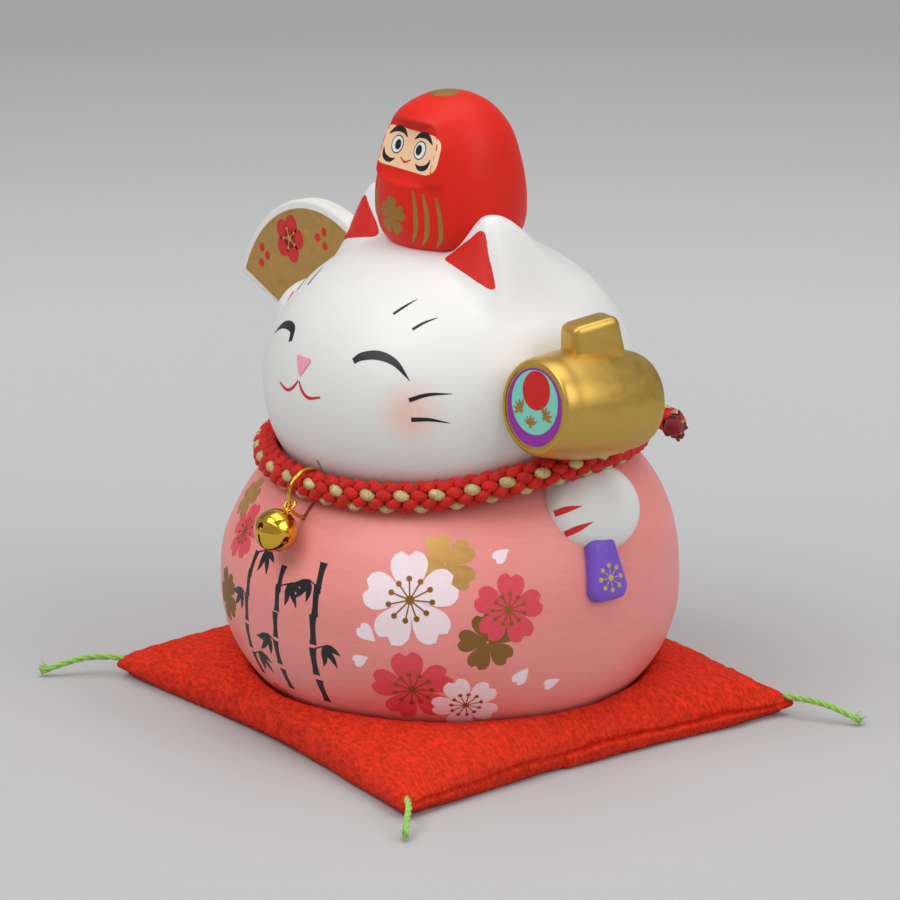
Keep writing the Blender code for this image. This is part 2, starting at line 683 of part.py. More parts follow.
def make_eye(place):
    """The loop on the ball's crown, with its shank through the crown and a foot inside."""
    eye = torus("bell_eye", EYE_RADIUS, EYE_WIRE, BRASS, around=16)
    loop = Matrix.Translation((0, 0, EYE_DISTANCE))
    eye.matrix_world = place @ loop @ Matrix.Rotation(math.pi / 2, 4, "Z")
    shank = cylinder("join_shank", 0.55 * MM, 2.4 * MM, segments=12)
    shank.matrix_world = place @ Matrix.Translation((0, 0, EYE_DISTANCE - 2.6 * MM))
    foot = cylinder("join_shank_foot", 1.3 * MM, 0.5 * MM, segments=12)
    foot.matrix_world = place @ Matrix.Translation((0, 0, EYE_DISTANCE - 3.8 * MM))
    join(eye, shank, foot)


# ---------------------------------------------------------------- pivots

def pivot(name, point, pieces, parent=None):
    """An empty on a joint's axis, with the pieces that move about it as its children."""
    empty = bpy.data.objects.new(name, None)
    empty.empty_display_size = 5 * MM
    empty.location = point
    PARTS.objects.link(empty)
    bpy.context.view_layer.update()
    for piece in pieces:
        piece.parent = empty
        piece.matrix_parent_inverse = empty.matrix_world.inverted()
    if parent:
        empty.parent = parent
        empty.matrix_parent_inverse = parent.matrix_world.inverted()
    return empty


def make_pivots():
    """The cat lifts off the cushion, its stopper drops out, and the ring and the bell swing."""
    moving = {name: [PARTS.objects[name]] for name in ("base_stopper", "bell_ring", "bell_pellet")}
    bell = [PARTS.objects["bell_cup"], PARTS.objects["bell_eye"]]
    taken = [piece for pieces in moving.values() for piece in pieces] + bell
    still = ("cushion", "tassel")
    cat = [obj for obj in PARTS.objects if obj not in taken and not obj.name.startswith(still)]
    lift = pivot("cat_lift", Vector((0, 0, 0)), cat)
    pivot("stopper_pull", Vector((0, 0, BASE_HEIGHT)), moving["base_stopper"], lift)
    ring = pivot("ring_swing", collar_point(BELL_ANGLE), moving["bell_ring"], lift)
    eye = leaning(bell_plane(*BELL_CENTRE)) @ Vector((0, 0, EYE_DISTANCE))
    swing = pivot("bell_swing", eye, bell, ring)
    resting = moving["bell_pellet"][0].matrix_world.translation.copy()
    pivot("pellet_hop", resting, moving["bell_pellet"], swing)


def main():
    slot = ring_slot()
    make_cushion()
    make_tassels()
    make_body(slot)
    make_head(slot)
    make_doll()
    make_left_arm()
    make_right_arm()
    make_mallet()
    make_fan()
    make_stopper()
    make_collar()
    make_bell()
    make_pivots()


main()
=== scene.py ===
import bisect
import json
import math
import random

import bmesh
import bpy
from mathutils import Matrix, Vector, noise
from mathutils.bvhtree import BVHTree
from mathutils.geometry import delaunay_2d_cdt
from mathutils.kdtree import KDTree

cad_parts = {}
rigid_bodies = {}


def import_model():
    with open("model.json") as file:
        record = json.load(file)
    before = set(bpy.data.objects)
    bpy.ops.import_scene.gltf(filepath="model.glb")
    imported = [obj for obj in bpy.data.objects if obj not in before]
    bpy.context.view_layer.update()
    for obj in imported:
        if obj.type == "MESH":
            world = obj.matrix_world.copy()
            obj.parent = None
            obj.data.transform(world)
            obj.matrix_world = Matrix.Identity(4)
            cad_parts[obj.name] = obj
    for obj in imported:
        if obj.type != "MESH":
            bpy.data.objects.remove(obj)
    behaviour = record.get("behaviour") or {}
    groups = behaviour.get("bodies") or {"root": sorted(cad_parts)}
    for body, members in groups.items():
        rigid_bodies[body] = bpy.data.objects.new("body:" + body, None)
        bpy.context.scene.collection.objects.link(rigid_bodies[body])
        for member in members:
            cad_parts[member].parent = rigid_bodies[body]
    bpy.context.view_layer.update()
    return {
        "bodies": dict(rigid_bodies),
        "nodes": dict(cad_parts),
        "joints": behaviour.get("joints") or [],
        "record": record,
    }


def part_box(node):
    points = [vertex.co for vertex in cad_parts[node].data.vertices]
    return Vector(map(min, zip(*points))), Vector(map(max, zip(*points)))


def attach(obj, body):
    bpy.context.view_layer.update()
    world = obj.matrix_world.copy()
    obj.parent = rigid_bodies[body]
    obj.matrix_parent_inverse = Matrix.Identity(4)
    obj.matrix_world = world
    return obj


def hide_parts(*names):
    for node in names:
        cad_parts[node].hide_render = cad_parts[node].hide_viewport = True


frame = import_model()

MM = 0.001
CHANCE = random.Random(7)

# ---------- camera, light and floor

AIM = Vector((0, 0, 75)) * MM
AZIMUTH, ELEVATION = math.radians(53.3), math.radians(16)
DISTANCE, LENS, SHIFT_UP = 1.0, 160, -0.0417
BACK = Vector((
    math.sin(AZIMUTH) * math.cos(ELEVATION),
    -math.cos(AZIMUTH) * math.cos(ELEVATION),
    math.sin(ELEVATION),
))
RIGHT, UP = Vector((math.cos(AZIMUTH), math.sin(AZIMUTH), 0)), Vector((0, 0, 1))
SKY_STRENGTH = 0.36
# name, metres to the right, up and towards the camera from the aim, side in metres, watts
SOFTBOXES = [
    ("key_light", -0.7, 1.0, 0.55, 0.9, 9.5),
    ("top_light", 0.2, 1.35, -0.15, 1.1, 7.4),
    ("fill_light", 0.95, 0.6, 0.7, 0.8, 5.6),
]


def make_camera():
    """A long lens at the photograph's angle."""
    data = bpy.data.cameras.new("camera")
    data.lens = LENS
    data.shift_y = SHIFT_UP
    camera = bpy.data.objects.new("camera", data)
    camera.location = AIM + BACK * DISTANCE
    camera.rotation_mode = "QUATERNION"
    camera.rotation_quaternion = (-BACK).to_track_quat("-Z", "Y")
    bpy.context.scene.collection.objects.link(camera)
    bpy.context.scene.camera = camera


def softbox(name, place, size, power):
    """A square white light that faces the cat."""
    data = bpy.data.lights.new(name, "AREA")
    data.shape = "SQUARE"
    data.size = size
    data.energy = power
    light = bpy.data.objects.new(name, data)
    light.location = place
    light.rotation_mode = "QUATERNION"
    light.rotation_quaternion = (place - AIM).to_track_quat("Z", "Y")
    bpy.context.scene.collection.objects.link(light)


def make_light():
    """A white sky and three softboxes."""
    scene = bpy.context.scene
    scene.view_settings.view_transform = "Standard"
    world = bpy.data.worlds.new("studio")
    world.use_nodes = True
    background = world.node_tree.nodes["Background"].inputs
    background["Color"].default_value = (1, 1, 1, 1)
    background["Strength"].default_value = SKY_STRENGTH
    scene.world = world
    for name, right, up, back, size, power in SOFTBOXES:
        softbox(name, AIM + RIGHT * right + UP * up + BACK * back, size, power)


# ---------- materials

def rgb(red, green, blue):
    """A screen colour as the linear one that shaders use."""
    parts = [part / 255 for part in (red, green, blue)]
    return tuple(((part + 0.055) / 1.055) ** 2.4 if part > 0.04045 else part / 12.92 for part in parts)


def shade(colour, factor):
    """A colour made darker or lighter."""
    return tuple(min(c * factor, 1) for c in colour)


class Paint:
    """A Principled material, with short calls for the nodes that vary it."""

    def __init__(self, name, colour, roughness, sockets=None):
        self.material = bpy.data.materials.new(name)
        self.material.use_nodes = True
        self.tree = self.material.node_tree
        self.shader = self.tree.nodes["Principled BSDF"]
        self.shader.inputs["Base Color"].default_value = (*colour, 1)
        self.shader.inputs["Roughness"].default_value = roughness
        for socket, value in (sockets or {}).items():
            self.shader.inputs[socket].default_value = value
        self.place = self.tree.nodes.new("ShaderNodeTexCoord").outputs["Object"]
        self.base = colour

    def feed(self, socket, value):
        """Links a socket, or sets a number, colour or vector."""
        if isinstance(value, bpy.types.NodeSocket):
            self.tree.links.new(value, socket)
        else:
            socket.default_value = value

    def node(self, kind, output, inputs, **settings):
        """An output of a new node, with these settings and inputs."""
        made = self.tree.nodes.new("ShaderNode" + kind)
        for name, value in settings.items():
            setattr(made, name, value)
        for socket, value in inputs.items():
            self.feed(made.inputs[socket], value)
        return made.outputs[output]

    def stretched(self, stretch):
        return self.node("Mapping", "Vector", {"Vector": self.place, "Scale": stretch})

    def noise(self, size, stretch=(1, 1, 1), detail=3, rough=0.55, distortion=0.0):
        """Noise whose lumps are about size across, in metres."""
        return self.node("TexNoise", "Fac", {
            "Vector": self.stretched(stretch), "Scale": 1 / size, "Detail": detail,
            "Roughness": rough, "Distortion": distortion,
        })

    def cells(self, size, stretch):
        return self.node("TexVoronoi", "Distance", {"Vector": self.stretched(stretch), "Scale": 1 / size})

    def ramp(self, value, low, high, first=0.0, last=1.0):
        """value between low and high, as first to last."""
        return self.node("MapRange", "Result", dict(enumerate((value, low, high, first, last))))

    def math(self, operation, first, second):
        return self.node("Math", "Value", {0: first, 1: second}, operation=operation)

    def total(self, *parts):
        """Sockets added up, each times its weight."""
        added = None
        for socket, weight in parts:
            part = socket if weight == 1 else self.math("MULTIPLY", socket, weight)
            added = part if added is None else self.math("ADD", added, part)
        return added

    def mix(self, factor, first, second):
        """A colour between two, each a colour or a socket."""
        colours = [(*value, 1) if isinstance(value, tuple) else value for value in (first, second)]
        return self.node("Mix", 2, {0: factor, 6: colours[0], 7: colours[1]}, data_type="RGBA")

    def near(self, point, radius, softness):
        """1 within radius of a point, falling to 0 over softness."""
        distance = self.node("VectorMath", "Value", {0: self.place, 1: point}, operation="DISTANCE")
        return self.ramp(distance, radius, radius + softness, 1.0, 0.0)

    def colour(self, value):
        self.feed(self.shader.inputs["Base Color"], value)
        return self

    def tones(self, value, low, high, dark, light):
        """From dark to light times the base colour, as value goes from low to high."""
        between = self.mix(self.ramp(value, low, high), shade(self.base, dark), shade(self.base, light))
        return self.colour(between)

    def roughness(self, value, low, high, first, last):
        """Roughness from first to last, as value goes from low to high."""
        self.feed(self.shader.inputs["Roughness"], self.ramp(value, low, high, first, last))
        return self

    def relief(self, height, depth):
        """Bump of a height from 0 to 1, depth metres deep."""
        bump = self.node("Bump", "Normal", {"Strength": 1.0, "Distance": depth, "Height": height})
        self.feed(self.shader.inputs["Normal"], bump)
        return self


def glaze(name, colour, streaks, variation, roughness, depth, shine=0.4):
    """Hand-painted satin ceramic: soft brush streaks in tone and gloss over a slightly uneven casting."""
    sockets = {"Specular IOR Level": shine, "Coat Weight": 0.2 * shine, "Coat Roughness": 0.25}
    paint = Paint(name, colour, roughness, sockets)
    stroke = paint.noise(9 * MM, streaks, detail=5, rough=0.6, distortion=0.3)
    blotch = paint.noise(26 * MM, detail=2)
    paint.tones(paint.total((stroke, 0.6), (blotch, 0.4)), 0.32, 0.68, 1 - variation * 1.6, 1 + variation)
    paint.roughness(stroke, 0.3, 0.7, roughness - 0.06, roughness + 0.09)
    grain = paint.noise(0.55 * MM, detail=2)
    return paint.relief(paint.total((stroke, 0.75), (grain, 0.12)), depth * MM)


def cat_white():
    """The head's and paws' white, with airbrushed cheeks."""
    paint = glaze("cat_white", rgb(230, 230, 228), (1, 1, 1.5), 0.012, 0.42, 0.04)
    base = paint.shader.inputs["Base Color"].links[0].from_socket
    speckle = paint.ramp(paint.noise(1.1 * MM, detail=4, rough=0.7), 0.3, 0.7, 0.72, 1.0)
    cheeks = [paint.near((side * CHEEK.x, CHEEK.y, CHEEK.z), 2.5 * MM, 8 * MM) for side in (1, -1)]
    eased = paint.math("POWER", paint.math("MAXIMUM", *cheeks), 1.35)
    amount = paint.math("MULTIPLY", paint.math("MULTIPLY", eased, speckle), 0.7)
    return paint.colour(paint.mix(amount, base, rgb(240, 178, 150)))


def gold(name, colour, roughness, contrast=0.16, metallic=0.72):
    """Brushed-on metallic paint, darker and duller where it lies thin."""
    paint = Paint(name, colour, roughness, {"Metallic": metallic, "Specular IOR Level": 0.5})
    fleck = paint.noise(0.35 * MM, detail=3, rough=0.7)
    stroke = paint.noise(6 * MM, (1, 1, 2.5), detail=5, rough=0.65, distortion=0.4)
    paint.tones(paint.total((stroke, 1), (fleck, 0.35)), 0.45, 0.9, 1 - contrast, 1 + contrast * 0.6)
    paint.roughness(stroke, 0.3, 0.7, roughness - 0.04, roughness + 0.08)
    return paint.relief(paint.total((stroke, 0.5), (fleck, 0.2)), 0.03 * MM)


def print_ink(name, colour, roughness, variation=0.08, size=1.6):
    """A painted or transfer-printed motif, a little uneven in cover."""
    paint = Paint(name, colour, roughness, {"Specular IOR Level": 0.35})
    cover = paint.noise(size * MM, (1, 1, 1.6), detail=4, rough=0.6)
    paint.tones(cover, 0.3, 0.7, 1 - variation, 1 + variation)
    return paint.roughness(cover, 0.3, 0.7, roughness - 0.05, roughness + 0.08).relief(cover, 0.02 * MM)


def crepe():
    """Red crepe: short crinkled ridges in rows, painted darker in their hollows as shade and lighter on
    their tops as highlight, with fuzz in the light.
    """
    colour = rgb(232, 50, 26)
    paint = Paint("crepe", colour, 0.82, {
        "Specular IOR Level": 0.15, "Sheen Weight": 0.12, "Sheen Roughness": 0.4,
        "Sheen Tint": (*rgb(255, 110, 80), 1),
    })
    warp = paint.noise(0.95 * MM, (0.42, 1.0, 0.5), detail=3, rough=0.55, distortion=0.9)
    pebble = paint.cells(1.0 * MM, (0.55, 1.15, 0.6))
    thread = paint.noise(0.16 * MM, (1, 0.6, 1), detail=2)
    ridge = paint.total((warp, 0.75), (pebble, 0.3))
    wear = paint.noise(22 * MM, detail=3)
    # painted shade in the crinkles' hollows and painted highlight on their tops, from the same ridges as the
    # bump
    deep = paint.mix(paint.ramp(ridge, 0.38, 0.68), shade(colour, 0.66), shade(colour, 1.2))
    paint.colour(paint.mix(paint.ramp(wear, 0.35, 0.7, 0.0, 0.25), deep, rgb(228, 66, 40)))
    paint.roughness(thread, 0.2, 0.8, 0.72, 0.95)
    return paint.relief(paint.total((ridge, 1), (thread, 0.12)), 1.0 * MM)


def yarn(name, colour, sheen, roughness, metallic=0.0, contrast=0.3):
    """Twisted thread with fine fibres, painted darker between the fibres as shade and lighter on them as
    highlight, over a wider random tone.
    """
    paint = Paint(name, colour, roughness, {
        "Sheen Weight": sheen, "Sheen Roughness": 0.4, "Metallic": metallic, "Specular IOR Level": 0.35,
    })
    fibre = paint.noise(0.42 * MM, (1, 1, 2.2), detail=3, rough=0.6, distortion=0.6)
    wide = paint.noise(3 * MM, detail=2)
    # painted shade and highlight: the tone follows the fibres that also make the bump, darker in their
    # hollows and lighter on their crowns
    paint.tones(paint.total((fibre, 0.7), (wide, 0.3)), 0.35, 0.65, 1 - contrast, 1 + contrast * 0.6)
    return paint.roughness(fibre, 0.2, 0.8, roughness - 0.12, roughness + 0.15).relief(fibre, 0.3 * MM)


def brass():
    """Polished brass with a slight haze."""
    paint = Paint("brass", rgb(238, 190, 70), 0.12, {"Metallic": 1.0})
    haze = paint.noise(4 * MM, detail=4, rough=0.6)
    paint.tones(haze, 0.3, 0.7, 0.9, 1).roughness(haze, 0.3, 0.75, 0.08, 0.2)
    return paint.relief(paint.noise(1.2 * MM, detail=2), 0.012 * MM)


def floor_paint():
    """Pale paper, darker far behind the object, where the light falls off."""
    colour = rgb(188, 188, 189)
    paint = Paint("floor_paper", colour, 0.85, {"Specular IOR Level": 0.15})
    fibre = paint.noise(2.5 * MM, detail=4)
    middle = (BACK.x * 0.2, BACK.y * 0.2, 0)
    paper = paint.mix(paint.near(middle, 0.25, 0.35), shade(colour, 1.2), colour)
    paper = paint.mix(paint.near(middle, 0.6, 0.6), colour, paper)
    paint.colour(paint.mix(paint.ramp(fibre, 0.3, 0.7, 0.0, 0.03), paper, shade(colour, 0.7)))
    return paint.relief(fibre, 0.05 * MM)


# ---------- meshes

def smooth(value):
    """A soft step from 0 at 0 to 1 at 1."""
    value = min(max(value, 0.0), 1.0)
    return value * value * (3 - 2 * value)


def curve_through(points, steps):
    """Points on a smooth curve through the given ones (Catmull-Rom). They are tuples or vectors."""
    points = [Vector(point) for point in points]
    ends = [2 * points[0] - points[1]] + points + [2 * points[-1] - points[-2]]
    made = []
    for before, start, end, after in zip(ends, ends[1:], ends[2:], ends[3:]):
        for i in range(steps):
            t = i / steps
            slope = (end - before) * t + (2 * before - 5 * start + 4 * end - after) * t**2
            made.append(start + 0.5 * (slope + (3 * start - before - 3 * end + after) * t**3))
    return made + [points[-1]]


class Soup:
    """Points and faces gathered into one piece."""

    def __init__(self):
        self.points, self.faces = [], []

    def add(self, points, faces):
        start = len(self.points)
        self.points += [tuple(point) for point in points]
        self.faces += [tuple(start + i for i in face) for face in faces]

    def loft(self, rings, ends="capped"):
        """Closed rings of equally many points, joined in order. The ends are capped, open, or joined."""
        count = len(rings[0])
        points = [point for ring in rings for point in ring]
        faces = []
        for r in range(len(rings) if ends == "joined" else len(rings) - 1):
            low, high = r * count, (r + 1) % len(rings) * count
            for i in range(count):
                j = (i + 1) % count
                faces.append((low + i, low + j, high + j, high + i))
        if ends == "capped":
            for ring, first, flip in ((rings[0], 0, True), (rings[-1], (len(rings) - 1) * count, False)):
                points.append(sum((Vector(p) for p in ring), Vector()) / count)
                for i in range(count):
                    face = (first + i, first + (i + 1) % count, len(points) - 1)
                    faces.append(face[::-1] if flip else face)
        self.add(points, faces)

    def tube(self, path, radii, sides):
        """A round tube along a path, with one radius or one for each point."""
        path = [Vector(point) for point in path]
        side = None
        rings = []
        for i, point in enumerate(path):
            ahead = (path[min(i + 1, len(path) - 1)] - path[max(i - 1, 0)]).normalized()
            if side is None:
                side = ahead.orthogonal().normalized()
            side = (side - ahead * side.dot(ahead)).normalized()
            across = ahead.cross(side)
            radius = radii[i] if isinstance(radii, list) else radii
            turns = [2 * math.pi * k / sides for k in range(sides)]
            rings.append([point + (side * math.cos(a) + across * math.sin(a)) * radius for a in turns])
        self.loft(rings)

    def move(self, place):
        """Moves every point by a matrix."""
        self.points = [tuple(place @ Vector(point)) for point in self.points]
        return self

    def mesh(self, name, outward=True):
        """The soup as mesh data, with its faces turned outward if asked."""
        mesh = bpy.data.meshes.new(name)
        mesh.from_pydata(self.points, [], self.faces)
        if outward:
            bm = bmesh.new()
            bm.from_mesh(mesh)
            bmesh.ops.recalc_face_normals(bm, faces=bm.faces)
            bm.to_mesh(mesh)
            bm.free()
        return mesh

    def piece(self, name, paint, body, slot, replaces=(), sharp=40):
        """The soup as a visible piece."""
        return adopt(bpy.data.objects.new(name, self.mesh(name)), paint, body, replaces, sharp)


def adopt(obj, paint, body, replaces=(), sharp=40):
    """Links a piece, finishes it, and sets what it rides on and stands for."""
    if not obj.users_collection:
        bpy.context.scene.collection.objects.link(obj)
    obj.data.materials.clear()
    obj.data.materials.append(paint.material)
    obj.data.shade_smooth()
    obj.data.set_sharp_from_angle(angle=math.radians(sharp))
    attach(obj, body)
    if replaces:
        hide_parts(*replaces)
    return obj


def cutter(name, soup):
    """The soup as a tool for carve."""
    obj = bpy.data.objects.new(name, soup.mesh(name))
    bpy.context.scene.collection.objects.link(obj)
    return obj


def carve(obj, *cutters):
    """Cuts the cutters from obj for good, and removes them."""
    for tool in cutters:
        boolean = obj.modifiers.new("carve", "BOOLEAN")
        boolean.operation = "DIFFERENCE"
        boolean.solver = "EXACT"
        boolean.object = tool
    settle(obj)
    for tool in cutters:
        bpy.data.objects.remove(tool, do_unlink=True)
    return obj


def settle(obj):
    """Applies the modifiers to the mesh."""
    bpy.context.view_layer.update()
    evaluated = obj.evaluated_get(bpy.context.evaluated_depsgraph_get())
    mesh = bpy.data.meshes.new_from_object(evaluated)
    obj.modifiers.clear()
    obj.data = mesh
    return obj


def ring_of(radius, height, count):
    """Points round the Z axis."""
    turns = [2 * math.pi * i / count for i in range(count)]
    return [Vector((radius * math.cos(a), radius * math.sin(a), height)) for a in turns]


def placed(rings, place):
    """Rings of points moved by a matrix, if there is one."""
    return [[place @ point for point in ring] for ring in rings] if place else rings


def turned(profile, count, place=None):
    """A soup turned about Z from (radius, height) points, top to bottom, then placed."""
    soup = Soup()
    soup.loft(placed([ring_of(max(radius, 0.002 * MM), height, count) for radius, height in profile], place))
    return soup


CORNERS = ((-1, -1), (1, -1), (1, 1), (-1, 1))


def block(size, centre, place=None):
    """A box."""
    soup = Soup()
    half, centre = Vector(size) / 2, Vector(centre)
    rings = [[centre + Vector((x * half.x, y * half.y, z * half.z)) for x, y in CORNERS] for z in (-1, 1)]
    soup.loft(placed(rings, place))
    return soup


def ellipsoid(centre, radii, around, rings):
    """An ellipsoid, with its poles on Z."""
    soup = Soup()
    layers = []
    for angle in (math.pi * i / rings for i in range(1, rings)):
        ring = ring_of(math.sin(angle), math.cos(angle), around)
        layers.append([Vector(c + r * p for c, r, p in zip(centre, radii, point)) for point in ring])
    soup.loft(layers)
    return soup


# ---------- painting on a form

class Canvas:
    """The surface of a form, on which flat outlines are laid as thin films."""

    def __init__(self, obj):
        self.tree = BVHTree.FromObject(obj, bpy.context.evaluated_depsgraph_get())

    def spot(self, point, facing=None):
        """A frame on the surface next to a point: X to the right, Y up, Z out of the surface."""
        hit, normal, _, _ = self.tree.find_nearest(Vector(point))
        if facing:
            normal = Vector(facing).normalized()
        right = Vector((0, 0, 1)).cross(normal).normalized()
        up = normal.cross(right)
        place = Matrix((right, up, normal)).transposed().to_4x4()
        place.translation = hit
        return place

    def lay(self, place, point, lift):
        """The point (x, y) of a frame, dropped on the surface, then lifted off it."""
        outside = place @ Vector((point[0], point[1], 12 * MM))
        inward = -(place.to_3x3() @ Vector((0, 0, 1)))
        hit, normal, _, _ = self.tree.ray_cast(outside, inward)
        if hit is None:
            hit, normal, _, _ = self.tree.find_nearest(place @ Vector((point[0], point[1], 0)))
        return hit + normal * lift

    def film(self, soup, place, outline, lift, spacing):
        """Adds a film of this outline to the soup. The outline, lift and spacing are in millimetres."""
        points, faces = filled(outline, spacing)
        soup.add([self.lay(place, (x * MM, y * MM), lift * MM) for x, y in points], faces)


def filled(outline, spacing):
    """Triangles that fill an outline, with points every spacing inside it, so that the film can bend."""
    outline = [Vector(point[:2]) for point in outline]
    low_x, high_x = min(p.x for p in outline), max(p.x for p in outline)
    low_y, high_y = min(p.y for p in outline), max(p.y for p in outline)
    grid = []
    for i in range(1, int((high_x - low_x) / spacing) + 1):
        for j in range(1, int((high_y - low_y) / spacing) + 1):
            grid.append(Vector((low_x + i * spacing, low_y + j * spacing)))
    face = list(range(len(outline)))
    made = delaunay_2d_cdt(outline + grid, [], [face], 1, 0.0001)
    points, triangles = made[0], made[2]
    used = sorted({i for triangle in triangles for i in triangle})
    index = {old: new for new, old in enumerate(used)}
    return [points[i] for i in used], [tuple(index[i] for i in triangle) for triangle in triangles]


FILM_THICKNESS = 0.14 * MM


def films(soup, name, paint):
    """The gathered films as one closed piece on the cat, with a thickness that reaches into the glaze."""
    obj = adopt(bpy.data.objects.new(name, soup.mesh(name, outward=False)), paint, "cat")
    solid = obj.modifiers.new("thickness", "SOLIDIFY")
    solid.thickness = FILM_THICKNESS
    solid.offset = -1
    adopt(settle(obj), paint, "cat", sharp=32)


def blob(radius_x, radius_y=None, centre=(0, 0), count=20):
    """The outline of a round or oval dot."""
    radius_y = radius_y or radius_x
    turns = [2 * math.pi * i / count for i in range(count)]
    return [Vector((centre[0] + radius_x * math.cos(a), centre[1] + radius_y * math.sin(a))) for a in turns]


def brush(points, widths):
    """The outline of a brush stroke along points, with a width at each of them."""
    path = curve_through([(*point[:2], 0) for point in points], 5)
    wide = curve_through([(width, 0, 0) for width in widths], 5)
    left, right = [], []
    for i, (point, width) in enumerate(zip(path, wide)):
        ahead = (path[min(i + 1, len(path) - 1)] - path[max(i - 1, 0)]).normalized()
        across = Vector((-ahead.y, ahead.x, 0)) * max(width.x, 0.04) / 2
        left.append(point + across)
        right.append(point - across)
    return [Vector(p[:2]) for p in left + right[::-1]]


def seen_from(place, points):
    """Points of the object as (x, y) in a frame, in millimetres."""
    inverse = place.inverted()
    return [tuple(c / MM for c in (inverse @ (Vector(point) * MM))[:2]) for point in points]


# ---------- the cat's ceramic forms

BODY_WIDEST, BODY_TOP, BASE = 32.3 * MM, 75 * MM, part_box("body_shell")[0].z
BODY_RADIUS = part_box("body_shell")[1].x
# how far the body reaches above and below its widest height, and how square its outline is there
RISE, RISE_POWER = 46 * MM, 2.5
FALL, FALL_POWER = 40 * MM, 2.1
SHOULDER_DROP = 5.2 * MM
COIN_SLOT, SLOT_HEIGHT = Vector((30, 24, 3.4)) * MM, 52 * MM
PLUG_SEAT, PLUG_PLAY, PLUG_LEDGE = 2.6 * MM, 0.3 * MM, 2 * MM
RING_ROOM_RADIUS, RING_ROOM_HALF, RING_ROOM_HEIGHT = 7.5 * MM, 0.62 * MM, 64.55 * MM
WALL = 4.5 * MM
NECK_HEIGHT, NECK_TILT, NECK_PASSAGE = 66.5 * MM, 0.047, 36 * MM
HEAD_CENTRE, HEAD_RADII = Vector((0, 0, 84)) * MM, Vector((47, 46.5, 38)) * MM
HEAD_WALL = 5.5 * MM
# the ear's place in X and Y and its rise, and the height below which the head stays round
EAR, EAR_FOOT = Vector((24, -6, 14)) * MM, 96 * MM
CHEEK = Vector((30.8, -34.9, 87.7)) * MM
PAW_CENTRE, PAW_RADII = Vector((47.2, 7.6, 60.6)) * MM, Vector((13.4, 11.6, 8.6)) * MM
PAW_FACING = (0.80, 0.06, 0.60)
RIGHT_PAW = Vector((-35, -15, 94)) * MM, Vector((11.5, 11.5, 11)) * MM
FOREARM = Vector((-41, -5, 86)) * MM, Vector((10, 9.5, 14)) * MM


def body_radius(height):
    """The body's outline, as its radius at a height."""
    reach, power = (RISE, RISE_POWER) if height > BODY_WIDEST else (FALL, FALL_POWER)
    return BODY_RADIUS * max(1 - (abs(height - BODY_WIDEST) / reach) ** power, 0) ** (1 / power)


def shoulder(point):
    """The front of the shoulder lies lower than its back."""
    across = math.hypot(point.x, point.y)
    facing = (0.5 - 0.5 * point.y / across) ** 2 if across > 1 * MM else 0.25
    drop = SHOULDER_DROP * facing * smooth((point.z - 36 * MM) / (20 * MM))
    return Vector((point.x, point.y, point.z - drop))


def body_soup(grow, top, base, layers, around):
    """The body's form, grown by a margin, between two heights."""
    soup = Soup()
    heights = [top + (base - top) * i / layers for i in range(layers + 1)]
    soup.loft([[shoulder(p) for p in ring_of(body_radius(z) + grow, z, around)] for z in heights])
    return soup


def neck_block(name, upward):
    """A tool that cuts away all above, or below, the tilted plane of the neck."""
    size = 140 * MM
    place = Matrix.Translation((0, 0, NECK_HEIGHT)) @ Matrix.Rotation(math.atan(NECK_TILT), 4, "X")
    return cutter(name, block((size, size, size), (0, 0, size / 2 if upward else -size / 2), place))


def make_body():
    """The pink body: hollow, with the stopper's hole in its base and the coin slot in its back."""
    pink = glaze("pink_glaze", rgb(240, 146, 140), (1, 1, 7), 0.05, 0.40, 0.06)
    obj = body_soup(0, BODY_TOP, BASE, 90, 144).piece("body", pink, "cat", "pink_glaze", ["body_shell"])
    hollow = cutter("hollow", body_soup(-WALL, BODY_TOP - 2 * MM, BASE + WALL, 24, 64))
    seat = BASE + PLUG_SEAT
    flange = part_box("base_stopper")[1].x + PLUG_PLAY
    hole = flange - PLUG_LEDGE
    plug = turned([(hole, BASE + 8 * MM), (hole, seat), (flange, seat), (flange, BASE - 3 * MM)], 64)
    slot_box = block(COIN_SLOT, (0, BODY_RADIUS - 4 * MM, SLOT_HEIGHT))
    neck = turned([(NECK_PASSAGE, 98 * MM), (NECK_PASSAGE, 58 * MM)], 64)
    openings = [cutter("neck", neck), cutter("plug", plug), cutter("slot", slot_box)]
    carve(obj, hollow, neck_block("above", True), *openings, ring_room())
    return adopt(obj, pink, "cat")


def ring_room():
    """The slot in the neck in which the bell's ring hangs and swings."""
    outward = Vector((RING_CENTRE.x, RING_CENTRE.y, 0)).normalized()
    place = bell_plane(outward * RING_OUT * MM + Vector((0, 0, RING_ROOM_HEIGHT)))
    place = place @ Matrix.Rotation(math.pi / 2, 4, "Y")
    ends = [(RING_ROOM_RADIUS, RING_ROOM_HALF), (RING_ROOM_RADIUS, -RING_ROOM_HALF)]
    return cutter("ring_room", turned(ends, 64, place))


def ear_height(x, y):
    """How far an ear lifts the head's top here: steep behind, long in front."""
    ridge = smooth(1 - abs((abs(x) - EAR.x) / (13 * MM)))
    if y < EAR.y:
        return EAR.z * ridge * smooth(1 - (EAR.y - y) / (9 * MM))
    return EAR.z * ridge * math.exp(-(((y - EAR.y) / (16 * MM)) ** 2))


def make_head(white):
    """The head with its ears, open at the neck."""
    soup = ellipsoid(HEAD_CENTRE, HEAD_RADII, 192, 128)
    soup.points = [(x, y, z + (ear_height(x, y) if z > EAR_FOOT else 0)) for x, y, z in soup.points]
    obj = soup.piece("head", white, "cat", "white_glaze", ["head_shell"])
    inner = HEAD_RADII - Vector((HEAD_WALL,) * 3)
    neck = turned([(NECK_PASSAGE, 80 * MM), (NECK_PASSAGE, 40 * MM)], 64)
    hollow = cutter("hollow", ellipsoid(HEAD_CENTRE, inner, 48, 28))
    carve(obj, hollow, neck_block("below", False), cutter("neck", neck), ring_room())
    return adopt(obj, white, "cat", sharp=60)


